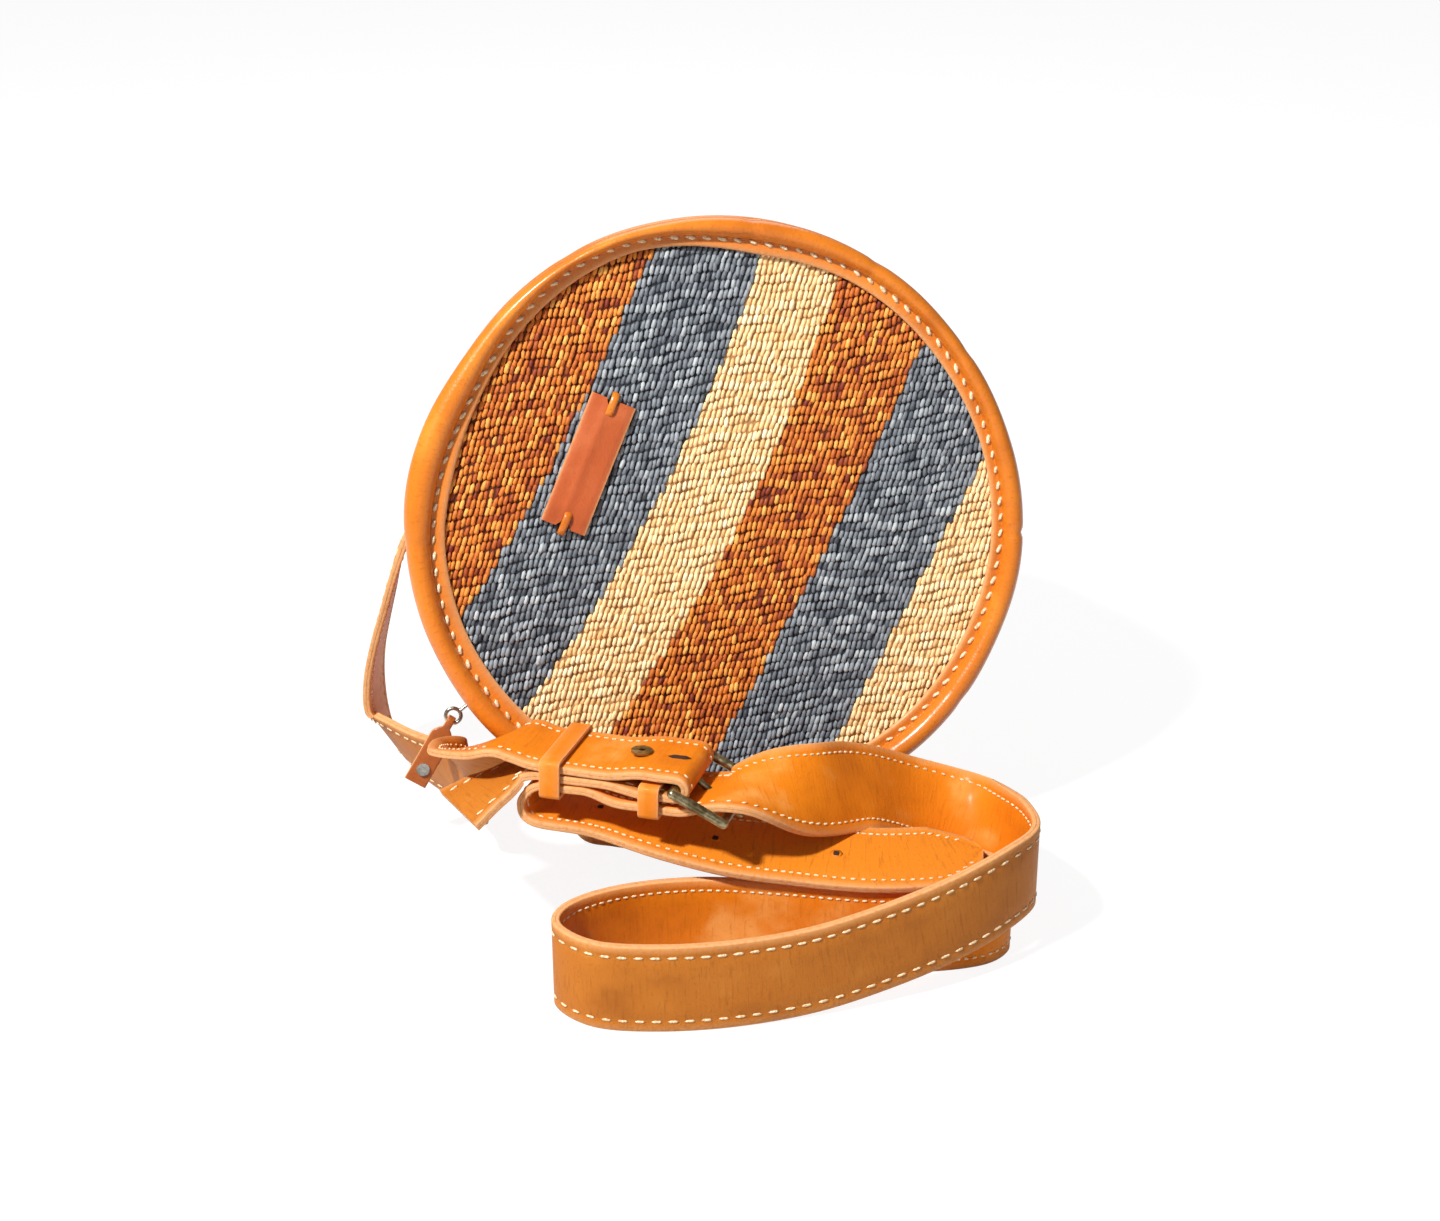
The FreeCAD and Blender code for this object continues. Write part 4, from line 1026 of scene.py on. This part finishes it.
tip_at = long_path["gone"][-1]
for k in range(HOLE_COUNT):
    spot = tip_at - HOLE_FROM_TIP - HOLE_PITCH * k
    strap_mark("billet_hole_rim_%d" % (k + 1), long_path, spot, 1, HOLE_RIM_SIZE, strap_back)
    strap_mark("billet_hole_%d" % (k + 1), long_path, spot, 1, HOLE_SIZE, hole_shade_paint.material)
fold_gap = np.linalg.norm(buckle_path["centre"] - at_buckle(-3.0, 0, BAR_LEVEL), axis=1)
fold_at = buckle_path["gone"][np.argmin(fold_gap)]
strap_mark("prong_slot_mark", buckle_path, fold_at, -1, SLOT_SIZE, hole_shade_paint.material)

# %% [markdown]
# The label is a bare strip of leather with a small notch at the middle of each end. It is
# creased along its length, and its edges are soft. It is skinned from rows that run across it, and
# each row ends nearer to the middle where the notch is.

# %% Label
LABEL_RADIUS, LABEL_TURN, LABEL_LONG, LABEL_WIDE = 47.0, 155.5, 44.7, 15.3
LABEL_NOTCH, NOTCH_HALF = 3.5, 2.3
LABEL_LOW, LABEL_HIGH = 36.35, 37.85
label_middle = on_drum(LABEL_RADIUS, LABEL_TURN, 0.0)
label_up = on_drum(1.0, LABEL_TURN - 90, 0.0) - DRUM_CENTRE
label_side = on_drum(1.0, LABEL_TURN, 0.0) - DRUM_CENTRE


def on_label(along, across, depth):
    return label_middle + label_up * along + label_side * across + DRUM_FRONT * depth


def label_end(across):
    return LABEL_LONG / 2 - LABEL_NOTCH * np.clip(1 - abs(across) / NOTCH_HALF, 0, 1) ** 0.7


def label_row(share):
    half = LABEL_WIDE / 2
    widths = np.concatenate([np.linspace(1, 0.36, 7), np.linspace(0.3, -0.3, 11),
                             np.linspace(-0.36, -1, 7)]) * half
    crease = 0.35 * np.exp(-((widths - 1.2) / 1.6) ** 2) - 0.45 * abs(widths / half) ** 8
    top = [(w, LABEL_HIGH + c + 0.1 * math.sin(3 * share + w / 3)) for w, c in zip(widths, crease)]
    base = [(w * 0.99, LABEL_LOW) for w in widths[::-1]]
    return [on_label(share * label_end(across), across, depth) for across, depth in top + base]


label_raw = [0.8, 0.1] + [0] * 21 + [0.1, 0.8] + [0.8] + [0] * 23 + [0.8]
label_rows = [label_row(share) for share in np.linspace(-1, 1, 33)]
label_piece = skin("label_strip", label_rows, label_leather, False, label_raw)
dress(label_piece, "bag", "label_leather", "label")
print("label", len(label_piece.data.polygons), "faces")

# %% [markdown]
# A thong at each end holds the label: it comes out through the notch, crosses the label's end and
# goes down into the weave. Its section is a flat oval that turns with its path.

# %% Thongs
THONG_HALF_WIDE, THONG_HALF_THICK, THONG_SIDES = 1.25, 0.5, 10


def thong(name, side):
    inner, outer = LABEL_LONG / 2 - LABEL_NOTCH - 1.6, LABEL_LONG / 2 + 2.2
    path = [(inner, 36.2), (inner, 37.8), (inner + 0.4, 38.5), (inner + 1.6, 38.9), (outer - 1.6, 38.6),
            (outer - 0.3, 37.9), (outer, 37.0), (outer, 35.6)]
    rows = []
    for k, (a, depth) in enumerate(path):
        back, front = path[max(k - 1, 0)], path[min(k + 1, len(path) - 1)]
        heading = np.array([front[0] - back[0], front[1] - back[1]])
        heading = heading / np.linalg.norm(heading)
        normal = (-heading[1], heading[0])
        ring = []
        for t in np.linspace(0, 2 * math.pi, THONG_SIDES, endpoint=False):
            push, wide = THONG_HALF_THICK * math.sin(t), THONG_HALF_WIDE * math.cos(t)
            ring.append(on_label(side * (a + normal[0] * push), wide, depth + normal[1] * push))
        rows.append(ring)
    return skin(name, rows, trim_leather, False, [0] * THONG_SIDES)


dress(thong("label_thong_upper", 1), "bag", "label_leather", "label_lace_upper")
dress(thong("label_thong_lower", -1), "bag", "label_leather", "label_lace_lower")
print("thongs ready")

# %% [markdown]
# A keeper is a small loop of leather round the strap. Its path is a rectangle with rounded
# corners, and its section a thin bar with soft edges. One keeper is sewn under the buckle and the
# other slides.

# %% Keepers
KEEPER_LONG, KEEPER_WALL, KEEPER_GAP = 6.5, 1.4, 0.6
SLIDING_AT, FIXED_AT = -40.0, -8.0


def keeper(name, along, top, bottom, material):
    half = STRAP_WIDTH / 2 + KEEPER_GAP
    tall, middle = (top - bottom) / 2, (top + bottom) / 2
    corner = min(0.55, tall * 0.6)
    section = [(-0.5, 0.08), (-0.44, 0.02), (0.44, 0.02), (0.5, 0.08), (0.5, 0.9), (0.43, 1.0),
               (0, 1.03), (-0.43, 1.0), (-0.5, 0.9)]
    rows = []
    for qx, qz, start in ((1, 1, 0), (-1, 1, 90), (-1, -1, 180), (1, -1, 270)):
        for turn_deg in np.linspace(start, start + 90, 7):
            way_out = np.array([math.cos(math.radians(turn_deg)), math.sin(math.radians(turn_deg))])
            base = np.array([qx * (half - corner), middle + qz * (tall - corner)])
            row = []
            for long_share, out_share in section:
                far, up = base + way_out * (corner + out_share * KEEPER_WALL)
                row.append(at_buckle(along + long_share * KEEPER_LONG, far, up))
            rows.append(row)
    return skin(name, rows, material, True, [1, 0, 0, 1, 1, 0.2, 0, 0.2, 1])


keeper_top = PAIR_LEVEL + HALF_STRAP + 2 * CLEAR
keeper_low = -BILLET_LEVEL - HALF_STRAP - 2 * CLEAR
sliding = keeper("sliding_keeper_loop", SLIDING_AT, keeper_top, keeper_low, strap_back)
dress(sliding, "keeper", "strap_leather", "sliding_keeper")
fixed_low = -LOW_LEVEL - HALF_STRAP - CLEAR
fixed = keeper("fixed_keeper_loop", FIXED_AT, -KEEPER_WALL / 2, fixed_low, strap_back)
dress(fixed, "bag", "strap_leather", "fixed_keeper")
print("keepers ready")

# %% [markdown]
# The zip's pull ends in a leather tab, a folded strip pinched at its neck and held by a rivet.
# The tab is skinned from rows across its length, narrow at the eye and wide below. Its leather is
# darker than the rest, as painted shade.

# %% Pull tab
tab_pivot = np.array(joints["tab_swing"]["pos_m"]) / MM
tab_side = np.array(joints["tab_swing"]["axis"])
tab_way = np.cross(tab_side, DRUM_FRONT)
if tab_way[2] > 0:
    tab_way = -tab_way
TAB_LENGTH, TAB_HALF, TAB_NECK, TAB_THICK, TAB_EYE = 24.0, 4.0, 1.3, 2.0, 2.25
tab_turns = np.linspace(0, 2 * math.pi, 20, endpoint=False)


def tab_row(share):
    along = -TAB_EYE + (TAB_LENGTH + TAB_EYE) * share
    wide = TAB_NECK + (TAB_HALF - TAB_NECK) * min(1, max(0, (along - TAB_EYE) / 3.0)) ** 0.7
    thick = TAB_THICK / 2
    if along < TAB_EYE:
        thick += (TAB_EYE - TAB_THICK / 2) * max(0, 1 - (along / TAB_EYE) ** 2) ** 0.5
    row = []
    for t in tab_turns:
        c, s = math.cos(t), math.sin(t)
        w = wide * math.copysign(min(1, abs(c) ** 0.35), c)
        d = max(thick, 0.5) * math.copysign(min(1, abs(s) ** 0.45), s)
        row.append(tab_pivot + tab_way * along + tab_side * w + DRUM_FRONT * d)
    return row


tab_raw = [0.9 if abs(math.cos(t)) > 0.9 else 0 for t in tab_turns]
tab_rows = [tab_row(share) for share in np.linspace(0.0, 1, 30)]
# the tab's darker leather is painted shade
tab_piece = skin("pull_tab", tab_rows, tab_painted_shade_leather, False, tab_raw)
dress(tab_piece, "tab", "trim_leather", "zip_tab")
print("tab ready", tab_way.round(2))

# %% [markdown]
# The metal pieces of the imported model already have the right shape, so they keep their meshes and
# get a better material.

# %% Metal finishes on the solid pieces
brass_nodes = ("buckle_frame", "buckle_prong", "strap_eyelet")
zip_nodes = ("zip_teeth_front", "zip_teeth_back", "zip_stops", "zip_slider", "zip_pull",
             "zip_tab_rivet")
for metal, node_names in ((old_brass, brass_nodes), (zip_steel, zip_nodes)):
    for node_name in node_names:
        frame["nodes"][node_name].data.materials.clear()
        frame["nodes"][node_name].data.materials.append(metal)
    print(metal.name, "on", len(node_names), "nodes")

# %% [markdown]
# The bag stands on a plain pale floor. To the camera, and in shiny metal, the floor is mostly a
# white glow, and the rest of its look is a plain surface that takes the bag's shadow.

# %% Floor
FLOOR_GLOW, GLOW_SHARE = 1.25, 0.72
floor_mesh = bpy.data.meshes.new("floor")
floor_mesh.from_pydata([(-4, -4, 0), (4, -4, 0), (4, 4, 0), (-4, 4, 0)], [], [(0, 1, 2, 3)])
floor_paint = Paint("pale floor", {"Base Color": (0.6, 0.6, 0.6, 1), "Roughness": 0.9})
seen = floor_paint.node("ShaderNodeLightPath", None, None, "Is Camera Ray")
mirrored = floor_paint.node("ShaderNodeLightPath", None, None, "Is Glossy Ray")
through = floor_paint.node("ShaderNodeLightPath", None, None, "Is Transmission Ray")
glow = floor_paint.node("ShaderNodeEmission", None, {"Color": (1, 1, 1, 1), "Strength": FLOOR_GLOW})
floor_look = floor_paint.node("ShaderNodeMixShader", None,
                              {0: (seen + mirrored + through) * GLOW_SHARE,
                               1: Wire(floor_paint, floor_paint.shader.outputs[0]), 2: glow})
floor_paint.tree.links.new(floor_look.socket, floor_paint.tree.nodes["Material Output"].inputs[0])
floor_mesh.materials.append(floor_paint.material)
floor = bpy.data.objects.new("floor", floor_mesh)
bpy.context.scene.collection.objects.link(floor)
floor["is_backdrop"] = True
print("floor ready")

# %% [markdown]
# The surroundings are white to the camera but light the bag only a little, so that the lamps give
# it its shape. The key lamp is small and strong and stands to the left and above, like a low sun. A
# weak wide lamp fills from the front, and a wide one behind lights the back.

# %% Surroundings and lamps
AMBIENT = 0.2
LAMP_TARGET = Vector((0, -0.01, 0.08))
world = bpy.data.worlds.new("studio")
world.use_nodes = True
bpy.context.scene.world = world
sky = world.node_tree.nodes["Background"]
sky.inputs["Color"].default_value = (1, 1, 1, 1)
lights = world.node_tree.nodes.new("ShaderNodeLightPath")
level = world.node_tree.nodes.new("ShaderNodeMapRange")
level.inputs[3].default_value = AMBIENT
level.inputs[4].default_value = 1.0
world.node_tree.links.new(lights.outputs["Is Camera Ray"], level.inputs[0])
world.node_tree.links.new(level.outputs[0], sky.inputs["Strength"])


def lamp(name, offset, watts, size):
    light = bpy.data.lights.new(name, "AREA")
    light.energy, light.size = watts, size
    holder = bpy.data.objects.new(name, light)
    holder.location = LAMP_TARGET + Vector(offset)
    holder.rotation_mode = "QUATERNION"
    holder.rotation_quaternion = (-Vector(offset)).to_track_quat("-Z", "Y")
    bpy.context.scene.collection.objects.link(holder)


lamp("key", (-0.66, -0.50, 1.06), 26.0, 0.1)
lamp("fill", (0.2, -1.2, 0.5), 1.2, 0.9)
lamp("rear", (0.1, 0.9, 0.9), 4.0, 0.8)
print("lamps", len(bpy.data.lights))

# %% [markdown]
# The last cell measures the dressed bag and prints its box.

# %% Sizes and finish
low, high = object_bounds()
print("visual box", low, high)
